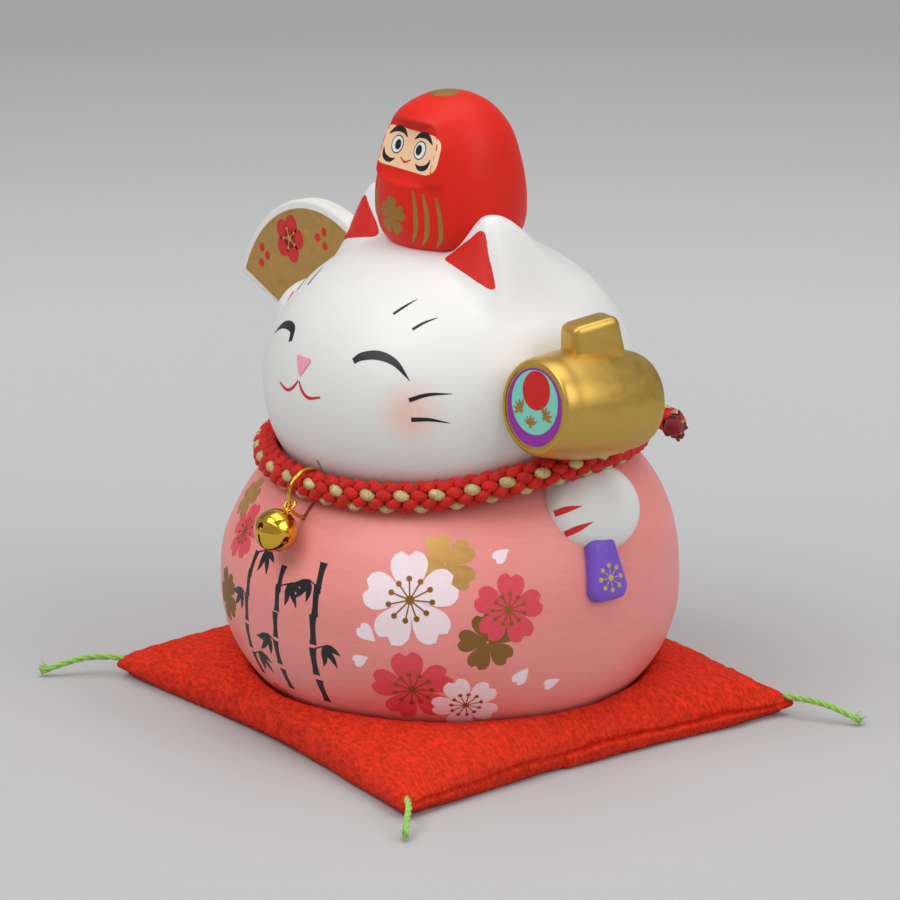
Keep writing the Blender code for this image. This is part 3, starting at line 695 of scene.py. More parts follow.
def make_arms(white):
    """The lowered left paw and the raised right arm, each one softly blended form."""
    swell = ellipsoid((0, 0, 0), PAW_RADII, 96, 64)
    place = Vector(PAW_FACING).to_track_quat("Z", "Y").to_matrix().to_4x4()
    place.translation = PAW_CENTRE
    left = swell.move(place).piece("left_paw", white, "cat", "white_glaze", ["left_arm"])
    soup = ellipsoid(*RIGHT_PAW, 64, 40)
    other = ellipsoid(*FOREARM, 64, 40)
    soup.add(other.points, other.faces)
    right = soup.piece("right_paw", white, "cat", "white_glaze", ["right_arm"])
    remesh = right.modifiers.new("blend", "REMESH")
    remesh.mode = "VOXEL"
    remesh.voxel_size = 0.8 * MM
    ease = right.modifiers.new("ease", "SMOOTH")
    ease.iterations = 12
    settle(right)
    return left, adopt(right, white, "cat")


# ---------- the body's blossoms, petals and bamboo

def petal(radius):
    """A rounded petal with a notched tip, pointing along +Y from the flower's middle."""
    side = [(0.03, 0.04), (0.17, 0.24), (0.33, 0.5), (0.385, 0.72), (0.31, 0.9), (0.15, 0.985)]
    right = curve_through([(x, y, 0) for x, y in side], 4)
    left = [Vector((-p.x, p.y, 0)) for p in reversed(right)]
    notch = [Vector((0.0, 0.885, 0))]
    return [Vector((p.x, p.y)) * radius for p in right + notch + left]


def rotated(outline, angle):
    """An outline turned about its origin."""
    cos, sin = math.cos(angle), math.sin(angle)
    return [Vector((p.x * cos - p.y * sin, p.x * sin + p.y * cos)) for p in outline]


def blossom(canvas, place, radius, petals, stamens, lift, turn):
    """Five petals, and eleven stamens with dots round a middle one unless stamens is None."""
    for i in range(5):
        canvas.film(petals, place, rotated(petal(radius), turn + 2 * math.pi * i / 5), lift, radius / 6)
    if stamens is None:
        return
    top = lift + 0.05
    canvas.film(stamens, place, blob(radius * 0.095, count=14), top, radius / 8)
    for i in range(11):
        angle = turn + 2 * math.pi * i / 11
        reach = radius * (0.43 + 0.03 * math.sin(5 * i))
        end = (-math.sin(angle) * reach, math.cos(angle) * reach)
        start = (end[0] * 0.15, end[1] * 0.15)
        canvas.film(stamens, place, brush([start, end], [radius * 0.03] * 2), top, radius / 8)
        canvas.film(stamens, place, blob(radius * 0.06, centre=end, count=10), top + 0.02, radius / 8)


def loose_petal(canvas, place, size, turn, soup):
    """A single petal about its own middle."""
    outline = [Vector((p.x * 0.95, p.y - 0.5 * size)) for p in petal(size)]
    canvas.film(soup, place, rotated(outline, turn), 0.05, size / 5)


def on_body(canvas, degrees, height):
    """A frame on the body at an angle from its front towards its left, at a height in millimetres."""
    angle = math.radians(degrees)
    z = height * MM
    radius = body_radius(z)
    return canvas.spot(shoulder(Vector((radius * math.sin(angle), -radius * math.cos(angle), z))))


# name of the paint, angle round the body, height, radius, turn, layer, has stamens
FLOWERS = [
    ("gold", 52.0, 55.9, 7.9, 0.35, 0.04, False),
    ("dark_gold", 62.2, 34.2, 7.3, 0.2, 0.04, False),
    ("red", 44.1, 21.6, 10.3, 0.15, 0.05, True),
    ("white", 43.6, 46.5, 11.9, 0.1, 0.09, True),
    ("red", 67.5, 42.6, 8.7, -0.15, 0.09, True),
    ("white", 57.3, 17.2, 8.4, 0.4, 0.10, True),
    ("red", -16.8, 54.7, 7.5, 0.2, 0.05, True),
    ("dark_gold", -19.4, 33.0, 7.0, 0.5, 0.05, False),
    ("gold", -28.0, 60.0, 6.0, 0.1, 0.04, False),
    ("red", -1.7, 10.5, 4.6, 0.3, 0.05, True),
]
# angle round the body, height, size, turn
PETALS = [
    (66.8, 56.8, 4.6, 2.2), (33.2, 35.4, 5.6, 0.9), (31.5, 28.5, 4.4, 2.0),
    (70.9, 24.7, 5.2, 2.5), (79.3, 21.5, 4.4, 1.9),
]


def make_blossoms(canvas):
    """The body's blossoms and loose petals in four colours."""
    colours = {
        "gold": (gold("blossom_gold", rgb(206, 160, 92), 0.5), "gold_paint"),
        "dark_gold": (gold("blossom_bronze", rgb(150, 108, 56), 0.5), "gold_paint"),
        "red": (print_ink("petal_red", rgb(226, 76, 92), 0.4, 0.07), "red_glaze"),
        "white": (print_ink("petal_white", rgb(247, 228, 234), 0.4, 0.03), "white_glaze"),
    }
    soups = {name: Soup() for name in colours}
    stamens = Soup()
    for name, degrees, height, radius, turn, layer, has_stamens in FLOWERS:
        place = on_body(canvas, degrees, height)
        blossom(canvas, place, radius, soups[name], stamens if has_stamens else None, layer, turn)
    for degrees, height, size, turn in PETALS:
        loose_petal(canvas, on_body(canvas, degrees, height), size, turn, soups["white"])
    for name, (paint, slot) in colours.items():
        films(soups[name], "blossoms_" + name, paint)
    films(stamens, "blossom_stamens", gold("stamen_gold", rgb(160, 108, 40), 0.5))


# angle round the body, heights of the top and the foot, width, side of the first leaves
STALKS = [(18.6, 55, 13, 1.9, 1), (6.2, 51, 14, 1.7, -1), (-6.2, 52, 15, 1.6, 1)]
JOINT_SPACING = 8.2


def make_bamboo(canvas):
    """Three slender stalks of bamboo in ink on the cat's front, each with sprays of leaves at its joints."""
    ink = Soup()
    for degrees, top, foot, width, side in STALKS:
        count = round((top - foot) / JOINT_SPACING)
        length = (top - foot) / count
        for i in range(count):
            height = foot + length * (i + 0.5)
            place = on_body(canvas, degrees - 0.4 * math.sin(i * 1.3), height)
            reach = length / 2 - 0.45
            widths = [width * 1.15, width * 0.86, width * 0.9, width * 1.2]
            stem = [(0, -reach), (0.06, -reach * 0.4), (-0.05, reach * 0.4), (0, reach)]
            canvas.film(ink, place, brush(stem, widths), 0.06, 1.0)
            if i % 2 == (degrees < 0):
                continue
            leaf_spray(canvas, place, side * (1 if i % 4 < 2 else -1), reach, ink)
    films(ink, "ink_bamboo", print_ink("ink", rgb(34, 33, 36), 0.36, 0.25, 0.9))


def leaf_spray(canvas, place, side, reach, ink):
    """Three pointed leaves that hang from a joint on a thin twig."""
    knot = (side * 0.6, reach)
    tip = (side * 3.0, reach + 1.0)
    canvas.film(ink, place, brush([knot, tip], [0.35, 0.3]), 0.07, 0.8)
    for lean, size in ((-0.35, 5.2), (-0.95, 6.4), (-1.6, 5.4)):
        along = Vector((side * math.cos(lean), math.sin(lean)))
        bend = Vector((-along.y, along.x)) * 0.5
        start = Vector(tip)
        route = [start + along * size * t + bend * math.sin(math.pi * t) for t in (0, 0.3, 0.65, 1)]
        canvas.film(ink, place, brush(route, [0.25, 1.7, 1.35, 0.1]), 0.08, 0.8)


# ---------- the cat's face, ears and claws

# strokes as points near the head's surface, in millimetres; the two eyes are painted a little differently
EYE = {
    1: [
        (14.6, -38.9, 97.3), (16.6, -38.0, 99.0), (20.4, -36.2, 99.9), (24.6, -34.4, 98.7),
        (28.8, -33.1, 95.0),
    ],
    -1: [
        (-8.4, -42.0, 98.2), (-9.8, -40.6, 100.7), (-13.3, -39.4, 101.0), (-17.4, -38.3, 99.6),
        (-20.8, -38.1, 96.9),
    ],
}
BROWS = [[(17.5, -29.7, 107.9), (18.8, -27.4, 110.4), (20.1, -24.8, 112.6)],
         [(23.7, -28.7, 105.5), (25.4, -26.7, 107.9), (27.4, -24.3, 109.8)]]
WHISKERS = [[(30.2, -34.7, 90.9), (33.3, -31.2, 92.4), (37.0, -26.9, 92.7)],
            [(31.0, -34.6, 86.3), (34.3, -31.6, 86.5), (37.6, -28.0, 85.8)]]
MOUTH = [(0.2, -45.8, 90.8), (2.0, -46.0, 88.7), (4.7, -46.0, 87.6), (8.6, -45.4, 88.5)]
EAR_LINING = [(24.4, -6.4, 127.6), (13.6, -14.0, 119.9), (32.2, -12.4, 114.8)]


def mirrored(points, side):
    """Points as given for the side 1, the cat's left, or mirrored for -1."""
    return [(side * x, y, z) for x, y, z in points]


def stroke(canvas, soup, points, widths, lift=0.06, spacing=1.0, facing=None):
    """A brush stroke through points near the surface, in millimetres."""
    middle = Vector(points[len(points) // 2]) * MM
    place = canvas.spot(middle, facing=facing)
    canvas.film(soup, place, brush(seen_from(place, points), widths), lift, spacing)


def rounded(corners, radius):
    """A polygon with its corners rounded."""
    made = []
    for i, corner in enumerate(corners):
        before, after = corners[i - 1], corners[(i + 1) % len(corners)]
        start = corner + (before - corner).normalized() * radius
        end = corner + (after - corner).normalized() * radius
        for k in range(6):
            t = k / 5
            made.append(start * (1 - t) ** 2 + corner * 2 * t * (1 - t) + end * t**2)
    return made


def make_face(canvas):
    """Closed smiling eyes, brows, whiskers, mouth, nose and ear linings."""
    ink, red, pink, ears = Soup(), Soup(), Soup(), Soup()
    for side in (1, -1):
        stroke(canvas, ink, EYE[side], [1.5, 2.1, 2.3, 1.7, 0.15])
        for brow in BROWS:
            stroke(canvas, ink, mirrored(brow, side), [0.75, 0.65, 0.12])
        for whisker in WHISKERS:
            stroke(canvas, ink, mirrored(whisker, side), [1.1, 0.8, 0.12])
        stroke(canvas, red, mirrored(MOUTH, side), [0.5, 0.75, 0.8, 0.45], lift=0.07)
        corners = mirrored(EAR_LINING, side)
        middle = sum((Vector(c) for c in corners), Vector()) / 3 * MM
        place = canvas.spot(middle)
        outline = rounded([Vector(p) for p in seen_from(place, corners)], 2.4)
        canvas.film(ears, place, outline, 0.08, 0.9)
    place = canvas.spot(Vector((0, -44.6, 94.6)) * MM)
    nose = rounded([Vector((-3.3, 2.2)), Vector((0, 1.9)), Vector((3.3, 2.2)), Vector((0.3, -3.1))], 1.5)
    canvas.film(pink, place, nose, 0.3, 0.5)
    films(ink, "face_ink", print_ink("face_black", rgb(30, 30, 33), 0.34, 0.15, 0.8))
    films(red, "mouth_line", print_ink("mouth_red", rgb(205, 40, 40), 0.4))
    films(pink, "nose", print_ink("nose_pink", rgb(246, 158, 178), 0.4, 0.04))
    films(ears, "ear_linings", print_ink("ear_red", rgb(214, 36, 26), 0.45, 0.06))


CLAWS = {
    "left": ([[(48.6, -4.9, 61.6), (50.0, -2.3, 62.6), (51.9, 0.9, 63.4)],
              [(52.4, -4.6, 57.3), (53.8, -1.7, 58.6), (55.2, 1.8, 60.0)]], (0.77, -0.57, 0.28)),
    "right": ([[(-29.5, -25.0, 97.5), (-30.5, -23.5, 100.5), (-32.0, -21.0, 103.0)],
               [(-34.0, -26.0, 96.5), (-35.0, -24.8, 100.0), (-36.0, -22.5, 102.6)]], (0, -1, 0.3)),
}


def make_claws(left, right):
    """Two red strokes on each paw."""
    red = print_ink("claw_red", rgb(214, 44, 40), 0.42)
    for name, paw in (("left", left), ("right", right)):
        strokes, facing = CLAWS[name]
        canvas, soup = Canvas(paw), Soup()
        for points in strokes:
            stroke(canvas, soup, points, [1.5, 1.5, 0.12], facing=facing, spacing=0.8)
        films(soup, "claws_" + name, red)


# ---------- doll

DOLL_OUTLINE = [
    (0.1, 157), (4.3, 156.45), (8.5, 154.7), (12, 151.9), (15.4, 147.0), (17.6, 140.0), (18.7, 134),
    (19, 129.5), (18.7, 125), (17.4, 121.7), (15.2, 119.6), (11, 118.7), (0.1, 118.6),
]
FACE_TOP, FACE_FOOT, FACE_HALF = 149.9 * MM, 137.4 * MM, 12.2 * MM
# the flat of the face: its place in Y at the foot, and how far it leans back
FACE_FRONT, FACE_LEAN = -14.9 * MM, 4.4 * MM
ROBE_TOP, ROBE_FOOT, ROBE_HALF, ROBE_DEPTH = 135.2 * MM, 117 * MM, 12.6 * MM, 1.1 * MM
# the hood's rim over the face
BROW_HEIGHT, BROW_SPREAD, BROW_HALF, BROW_SWELL = 151.6 * MM, 2.2 * MM, 9 * MM, 0.9 * MM


def window(value, low, high, edge):
    """1 between low and high, falling smoothly to 0 over edge outside them."""
    return smooth((value - low) / edge + 1) * smooth((high - value) / edge + 1)


def sunken(point):
    """Presses the face and the front of the robe into the doll."""
    x, y, z = point
    if y > -4 * MM:
        return point
    part = (z - FACE_FOOT) / (FACE_TOP - FACE_FOOT)
    floor_y = FACE_FRONT + FACE_LEAN * min(max(part, 0), 1)
    inside = window(z, FACE_FOOT, FACE_TOP, 1.5 * MM) * window(abs(x), 0, FACE_HALF, 2.0 * MM)
    if y < floor_y:
        y += (floor_y - y) * inside
    robe = window(z, ROBE_FOOT, ROBE_TOP, 2.4 * MM) * window(abs(x), 0, ROBE_HALF, 1.8 * MM)
    brow = math.exp(-(((z - BROW_HEIGHT) / BROW_SPREAD) ** 2)) * window(abs(x), 0, BROW_HALF, 5 * MM)
    return Vector((x, y + ROBE_DEPTH * robe - BROW_SWELL * brow, z))


def make_doll():
    """The red doll on the cat's head."""
    outline = [(p.x * MM, p.y * MM) for p in curve_through([(r, z, 0) for r, z in DOLL_OUTLINE], 9)]
    soup = turned(outline, 192)
    soup.points = [tuple(sunken(Vector(point))) for point in soup.points]
    red = glaze("doll_red", rgb(222, 30, 12), (1, 1, 2), 0.04, 0.5, 0.04, 0.25)
    doll = soup.piece("doll", red, "cat", "red_glaze", ["daruma_doll"], sharp=70)
    paint_doll(Canvas(doll))


def paint_doll(canvas):
    """A plain doll's face: round eyes, brushed brows, two whisker strokes and a small smile."""
    skin, white, ink, lips, trim = Soup(), Soup(), Soup(), Soup(), Soup()
    front = canvas.spot(Vector((0, -13.2, 143.6)) * MM, facing=(0, -1, 0.25))
    opening = rounded([Vector(c) for c in ((-11.3, 5.2), (-11.8, -4.6), (11.8, -4.6), (11.3, 5.2))], 3.4)
    canvas.film(skin, front, opening, 0.05, 0.7)
    for side in (1, -1):
        eye = (side * 4.6, 0.9)
        canvas.film(ink, front, blob(2.35, 2.35, eye), 0.08, 0.5)
        canvas.film(white, front, blob(2.05, 2.05, eye), 0.11, 0.5)
        canvas.film(ink, front, blob(1.15, 1.3, (eye[0] - side * 0.35, eye[1])), 0.15, 0.4)
        brow = [(side * 1.5, 3.2), (side * 3.4, 4.5), (side * 6.2, 4.6), (side * 8.8, 3.0)]
        canvas.film(ink, front, brush(brow, [0.25, 1.3, 1.5, 0.3]), 0.08, 0.5)
        beard = [(side * 4.2, -2.6), (side * 6.2, -3.3), (side * 8.6, -2.6), (side * 9.6, -0.6)]
        canvas.film(ink, front, brush(beard, [0.2, 1.2, 1.3, 0.25]), 0.08, 0.5)
        for k in range(3):
            robe_stripe(canvas, side, k, trim)
    canvas.film(lips, front, brush([(-2.1, -1.9), (0, -2.8), (2.1, -1.9)], [0.3, 0.55, 0.3]), 0.08, 0.5)
    chest = canvas.spot(Vector((0, -17.8, 128)) * MM)
    blossom(canvas, chest, 5.0, trim, None, 0.06, 0.0)
    top = canvas.spot(Vector((0, -1.5, 157)) * MM, facing=(0, -0.15, 1))
    canvas.film(trim, top, blob(3.75, count=28), 0.06, 1.0)
    films(skin, "doll_face", print_ink("doll_skin", rgb(248, 208, 168), 0.42, 0.03))
    films(white, "doll_eyes", print_ink("doll_white", rgb(240, 240, 238), 0.3, 0.02))
    films(ink, "doll_ink", print_ink("doll_black", rgb(28, 28, 30), 0.34, 0.15, 0.6))
    films(lips, "doll_lips", print_ink("doll_lip_red", rgb(206, 40, 36), 0.4))
    films(trim, "doll_gilding", gold("doll_gold", rgb(178, 130, 62), 0.5))


def robe_stripe(canvas, side, k, trim):
    """One of the curved gold stripes beside the robe's blossom."""
    out = side * (7.0 + 2.9 * k)
    radius = 18.4
    route = []
    for height, bow in ((135.2, 0.0), (130.5, 0.9), (125.5, 0.9), (121.8, -0.5)):
        x = out + side * (bow - 0.25 * k)
        route.append((x, -math.sqrt(max(radius**2 - x**2, 1)), height - 0.7 * k))
    stroke(canvas, trim, route, [0.5, 1.25, 1.25, 0.35], spacing=0.8)


# ---------- mallet and fan

DRUM_CENTRE = Vector((53.7, -0.2, 89.7)) * MM
DRUM_AXIS = Vector((0.087, -0.988, 0.122)).normalized()
DRUM_SIDE = [
    (0.2, 16.25), (9.6, 16.25), (9.9, 16.45), (10.5, 16.5), (11.15, 16.15), (11.6, 15.3), (12.05, 13.6),
    (12.35, 11.4), (12.85, 8.5), (13.3, 4.5), (13.5, 0),
]


def drum_place():
    """The barrel's frame, with Z along its axis, out of the front face."""
    place = DRUM_AXIS.to_track_quat("Z", "X").to_matrix().to_4x4()
    place.translation = DRUM_CENTRE
    return place


def make_drum():
    """The mallet's barrel, its faces trimmed with raised rims, and the picture on the front face."""
    side = [(p.x * MM, p.y * MM) for p in curve_through([(r, z, 0) for r, z in DRUM_SIDE], 4)]
    outline = side + [(r, -z) for r, z in reversed(side[:-1])]
    paint = gold("drum_gold", rgb(208, 170, 84), 0.38, 0.07, 0.9)
    drum = turned(outline, 128, drum_place()).piece(
        "mallet_barrel", paint, "cat", "gold_paint", ["mallet_drum"], sharp=50)
    canvas = Canvas(drum)
    front = canvas.spot(DRUM_CENTRE + DRUM_AXIS * 16.4 * MM, facing=DRUM_AXIS)
    purple, sea, sun, leaves = Soup(), Soup(), Soup(), Soup()
    canvas.film(purple, front, blob(9.4, count=56), 0.04, 2.2)
    canvas.film(sea, front, blob(7.9, 7.7, (0, 1.2), count=48), 0.08, 2.2)
    canvas.film(sun, front, blob(4.7, 4.7, (0.2, 4.1), count=36), 0.12, 1.8)
    for x, y, turn, size in ((-4.2, -1.6, 0.9, 1.0), (3.6, -1.9, -0.7, 1.0), (-0.6, -4.6, 0.1, 0.85)):
        for bend in (-1.0, -0.5, 0.0, 0.5, 1.0):
            angle = turn + bend
            along = Vector((-math.sin(angle), math.cos(angle)))
            start, end = Vector((x, y)) + along * 0.5, Vector((x, y)) + along * 3.0 * size
            canvas.film(leaves, front, brush([start, (start + end) / 2, end], [0.3, 0.75, 0.1]), 0.13, 0.9)
        canvas.film(leaves, front, blob(0.5, centre=(x, y), count=12), 0.14, 0.6)
    films(purple, "barrel_disc", print_ink("disc_purple", rgb(146, 44, 156), 0.4, 0.08))
    films(sea, "barrel_sea", print_ink("sea_green", rgb(126, 208, 192), 0.42, 0.05))
    films(sun, "barrel_sun", print_ink("sun_red", rgb(206, 26, 24), 0.38, 0.06))
    films(leaves, "barrel_leaves", gold("leaf_gold", rgb(190, 140, 70), 0.45))


# part of the height, half the width in X, half the width in Y
HANDLE_LAYERS = [(part, 4.1 * (1 - 0.12 * part), 7.1 * (1 - 0.08 * part)) for part in (-1, -0.5, 0, 0.5, 1)]
GRIP_LAYERS = [
    (-1, 4.6, 4.6), (-0.62, 5.0, 5.6), (-0.2, 4.8, 5.1), (0.25, 4.5, 4.5), (0.65, 4.2, 4.0), (1, 3.9, 3.6),
]
# the middle in millimetres, the turns in degrees with their axes, and half the height
HANDLE = (53.7, 2.1, 103.2), [(-5, "Z"), (7, "X")], 7
GRIP = (54.4, 4.0, 47.6), [(-11, "Y")], 7.8


def bevelled(name, soup, width, segments, paint, slot, replaces):
    """A piece on the cat with rounded edges."""
    obj = soup.piece(name, paint, "cat", slot, replaces, sharp=80)
    bevel = obj.modifiers.new("edges", "BEVEL")
    bevel.width = width
    bevel.segments = segments
    bevel.limit_method = "ANGLE"
    return adopt(settle(obj), paint, "cat", sharp=80)


def handle_part(shape, layers):
    """One end of the handle, lofted from its layers, and the frame that it stands in."""
    middle, turns, half_height = shape
    place = Matrix.Translation(Vector(middle) * MM)
    for degrees, axis in turns:
        place = place @ Matrix.Rotation(math.radians(degrees), 4, axis)
    soup = Soup()
    soup.loft([
        [place @ (Vector((x * half_x, y * half_y, half_height * part)) * MM) for x, y in CORNERS]
        for part, half_x, half_y in layers
    ])
    return soup, place


def make_handle():
    """The mallet's handle above the barrel, and its grip below the paw with a flower of dots."""
    paint = gold("handle_gold", rgb(208, 170, 84), 0.38, 0.07, 0.9)
    top, _ = handle_part(HANDLE, HANDLE_LAYERS)
    bevelled("mallet_handle", top, 1.9 * MM, 6, paint, "gold_paint", ["mallet_handle_top"])
    violet = glaze("grip_violet", rgb(122, 84, 200), (1, 1, 2), 0.05, 0.4, 0.04)
    low, place = handle_part(GRIP, GRIP_LAYERS)
    grip = bevelled("mallet_foot", low, 1.9 * MM, 5, violet, "purple_paint", ["mallet_grip"])
    canvas, dots, lines = Canvas(grip), Soup(), Soup()
    flower = canvas.spot(place @ Vector((5 * MM, 0, -2.0 * MM)), facing=(1, 0, 0.15))
    canvas.film(dots, flower, blob(0.8, count=14), 0.08, 0.6)
    for i in range(8):
        angle = 2 * math.pi * i / 8
        spot = Vector((3.0 * math.sin(angle), 3.0 * math.cos(angle)))
        canvas.film(dots, flower, blob(0.62, centre=spot, count=12), 0.08, 0.6)
        canvas.film(lines, flower, brush([spot * 0.35, spot * 0.72], [0.28, 0.22]), 0.08, 0.6)
    dots.add(lines.points, lines.faces)
    films(dots, "grip_flower", gold("pale_gold", rgb(208, 176, 120), 0.5))


FAN_PIVOT, FAN_RADIUS, FAN_BACK, FAN_FRONT = Vector((-43, -8.5, 86.5)) * MM, 36 * MM, -6 * MM, -11 * MM
FAN_START, FAN_END = math.radians(60), math.radians(162)
# places on the fan's front in X and Z
FAN_DOTS = ((-67, 102), (-64.2, 104.4), (-66.6, 106.2), (-38.6, 115.5), (-41.4, 113.6), (-38.2, 111.9))


def fan_arc(radius, margin, steps):
    """Points on an arc of the fan that stops short of its sides by a part of the whole turn."""
    parts = [margin + (1 - 2 * margin) * i / steps for i in range(steps + 1)]
    turns = [FAN_START + (FAN_END - FAN_START) * part for part in parts]
    return [FAN_PIVOT + Vector((math.cos(turn), 0, math.sin(turn))) * radius for turn in turns]


def make_fan():
    """The open fan in the right paw: white ceramic, with gilt on its front."""
    soup = Soup()
    outline = [FAN_PIVOT] + fan_arc(FAN_RADIUS, 0, 40)
    soup.loft([[Vector((p.x, y, p.z)) for p in outline] for y in (FAN_BACK, FAN_FRONT)], "open")
    count = len(outline)
    soup.faces += [tuple(range(count)), tuple(range(2 * count - 1, count - 1, -1))]
    white = glaze("fan_white", rgb(236, 234, 230), (1, 1, 2), 0.015, 0.4, 0.04)
    canvas = Canvas(bevelled("fan", soup, 1.1 * MM, 4, white, "white_glaze", ["fan_leaf"]))

    def front(x, z):
        return canvas.spot(Vector((x, FAN_FRONT / MM, z)) * MM, facing=(0, -1, 0))

    gilt, red, stamens = Soup(), Soup(), Soup()
    middle = front(-50, 108)
    face = fan_arc(FAN_RADIUS - 2.2 * MM, 0.035, 32) + fan_arc(6 * MM, 0.06, 32)[::-1]
    canvas.film(gilt, middle, seen_from(middle, [p / MM for p in face]), 0.05, 2.0)
    flower = front(-54, 110.9)
    for i in range(5):
        angle = 2 * math.pi * i / 5 + 0.2
        centre = (3.7 * math.sin(angle), 3.7 * math.cos(angle))
        canvas.film(red, flower, blob(2.55, 2.7, centre, count=18), 0.09, 1.3)
    canvas.film(red, flower, blob(2.6, count=18), 0.09, 1.3)
    canvas.film(stamens, flower, blob(0.8, count=14), 0.14, 0.8)
    for i in range(5):
        angle = 2 * math.pi * (i + 0.5) / 5 + 0.2
        end = Vector((2.6 * math.sin(angle), 2.6 * math.cos(angle)))
        canvas.film(stamens, flower, brush([end * 0.25, end], [0.25, 0.25]), 0.14, 0.8)
        canvas.film(stamens, flower, blob(0.45, centre=end, count=10), 0.15, 0.6)
    for x, z in FAN_DOTS:
        canvas.film(red, front(x, z), blob(1.15, count=16), 0.09, 0.8)
    films(gilt, "fan_gilt", gold("fan_gold", rgb(200, 156, 86), 0.42))
    films(red, "fan_blossom", print_ink("fan_red", rgb(206, 34, 30), 0.4, 0.06))
    films(stamens, "fan_stamens", gold("fan_stamen_gold", rgb(214, 176, 104), 0.45))


# ---------- braided collar

GRAIN_SPACING = 4.2


def collar_point(angle):
    """The middle of the cord at an angle from the front towards the cat's left, in millimetres."""
    degrees = math.degrees(angle) % 360
    over_arm = math.exp(-(((degrees - 90) / 22) ** 2))
    lift = math.exp(-(((degrees - 92) / 32) ** 2))
    radius = 46 - 0.5 * math.cos(angle) + 3.2 * over_arm
    height = 68.3 - 2.8 * math.cos(angle) + 5.0 * lift
    return Vector((radius * math.sin(angle), -radius * math.cos(angle), height))


def frames_along(path, closed, centre=None):
    """(point, ahead, outward, across) along a path, with outward away from the object's axis or a centre."""
    made = []
    last = len(path) - 1
    for i, point in enumerate(path):
        before = path[i - 1] if closed else path[max(i - 1, 0)]
        after = path[(i + 1) % len(path)] if closed else path[min(i + 1, last)]
        ahead = (after - before).normalized()
        out = Vector((point.x, point.y, 0)) if centre is None else point - centre
        out = (out - ahead * out.dot(ahead)).normalized()
        made.append((point, ahead, out, ahead.cross(out)))
    return made


def frame_at(frames, lengths, distance):
    """The frame at a distance along the path, between the two nearest."""
    low = min(bisect.bisect(lengths, distance) - 1, len(lengths) - 2)
    part = (distance - lengths[low]) / (lengths[low + 1] - lengths[low])
    mixed = [a.lerp(b, part) for a, b in zip(frames[low], frames[(low + 1) % len(frames)])]
    return mixed[:1] + [direction.normalized() for direction in mixed[1:]]


STRAND_SIDES, STRAND_RINGS = 16, 9


def grain(soup, frame, turn, tilt, radius, size):
    """One bulging strand of the braid where it crosses the cord's surface."""
    point, ahead, out, across = frame
    radial = out * math.cos(turn) + across * math.sin(turn)
    side = across * math.cos(turn) - out * math.sin(turn)
    axis = ahead * math.cos(tilt) + side * math.sin(tilt)
    wide = axis.cross(radial)
    length, width, thickness = size
    centre = point + radial * radius
    layers = []
    for i in range(1, STRAND_RINGS):
        t = -1 + 2 * i / STRAND_RINGS
        swell = max(1 - abs(t) ** 1.8, 0) ** 0.65
        # the strand dives back under its neighbours at both ends
        middle = centre + axis * length * t - radial * 0.75 * t * t
        ring = []
        for k in range(STRAND_SIDES):
            a = 2 * math.pi * k / STRAND_SIDES
            bulge = swell * (1 + 0.075 * math.cos(5 * a + 3.0 * t))
            reach = wide * math.cos(a) * width * bulge + radial * math.sin(a) * thickness * bulge
            ring.append((middle + reach) * MM)
        layers.append(ring)
    soup.loft(layers)


class Braid:
    """Round braids of red and gold strands over a core painted dark red as the shade between the strands,
    gathered as three pieces.
    """

    def __init__(self, paints):
        self.paints = paints
        self.red, self.gilt, self.dark = Soup(), Soup(), Soup()

    def lay(self, path, columns, core, radius, size, centre=None):
        """Adds a braid along a path in millimetres, with columns of strands at these angles from outward.
        Without a centre to face away from, it is a loop."""
        closed = centre is None
        frames = frames_along(path, closed, centre)
        lengths = [0.0]
        for first, second in zip(path, path[1:] + path[:1] if closed else path[1:]):
            lengths.append(lengths[-1] + (second - first).length)
        total = lengths[-1]
        count = round(total / GRAIN_SPACING / 2) * 2 if closed else int(total / GRAIN_SPACING)
        for column, degrees in enumerate(columns):
            odd = column % 2
            for i in range(count):
                distance = (i + 0.5 * odd + (0 if closed else 0.35)) * total / count
                if not closed and distance > total - 0.6:
                    continue
                frame = frame_at(frames, lengths, distance % total)
                is_gilt = (degrees, i % 2) in GILT_STRANDS
                wobble = CHANCE.uniform(-1, 1)
                turn = math.radians(degrees + 1.6 * wobble)
                tilt = math.radians((15 if odd else -15) + 2.5 * wobble)
                grain(self.gilt if is_gilt else self.red, frame, turn, tilt, radius, size)
        if not closed:
            self.dark.tube([point * MM for point in path], core * MM, 12)
            return
        turns = [2 * math.pi * k / 12 for k in range(12)]
        self.dark.loft([
            [(point + (out * math.cos(a) + across * math.sin(a)) * core) * MM for a in turns]
            for point, _, out, across in frames
        ], "joined")

    def pieces(self, name, node, suffix=""):
        """Makes the three pieces, which stand for a CAD node."""
        parts = [
            (self.red, "braid", "red_cord"),
            (self.gilt, "gold", "gold_paint"),
            # the core's piece, painted dark as the shade seen between the strands
            (self.dark, "core", "red_cord"),
        ]
        for paint, (soup, kind, slot) in zip(self.paints, parts):
            replaced = [node + suffix] if kind == "braid" else ()
            soup.piece(name + "_" + kind + suffix, paint, "cat", slot, replaced, sharp=180)


COLUMNS = [157.5, 112.5, 67.5, 22.5, -22.5, -67.5, -112.5, -157.5]
# the columns with gold strands, and which of every two strands is gold there
GILT_STRANDS = ((67.5, 0), (-22.5, 1))
TAIL_ROUTE = [
    (7.3, 53.5, 68.6), (11.5, 54.6, 68.3), (16, 54.8, 68.4), (20.5, 53.8, 68.8), (25, 51.6, 69.4),
    (29, 48.6, 70.2),
]
KNOT_ROUTE = [
    (6.2, 48.2, 70.8), (3.2, 50.6, 73.0), (-1.6, 50.2, 72.4), (-3.8, 48.8, 69.9), (-1.4, 50.4, 67.6),
    (2.9, 50.6, 67.2), (5.6, 49.4, 68.4),
]


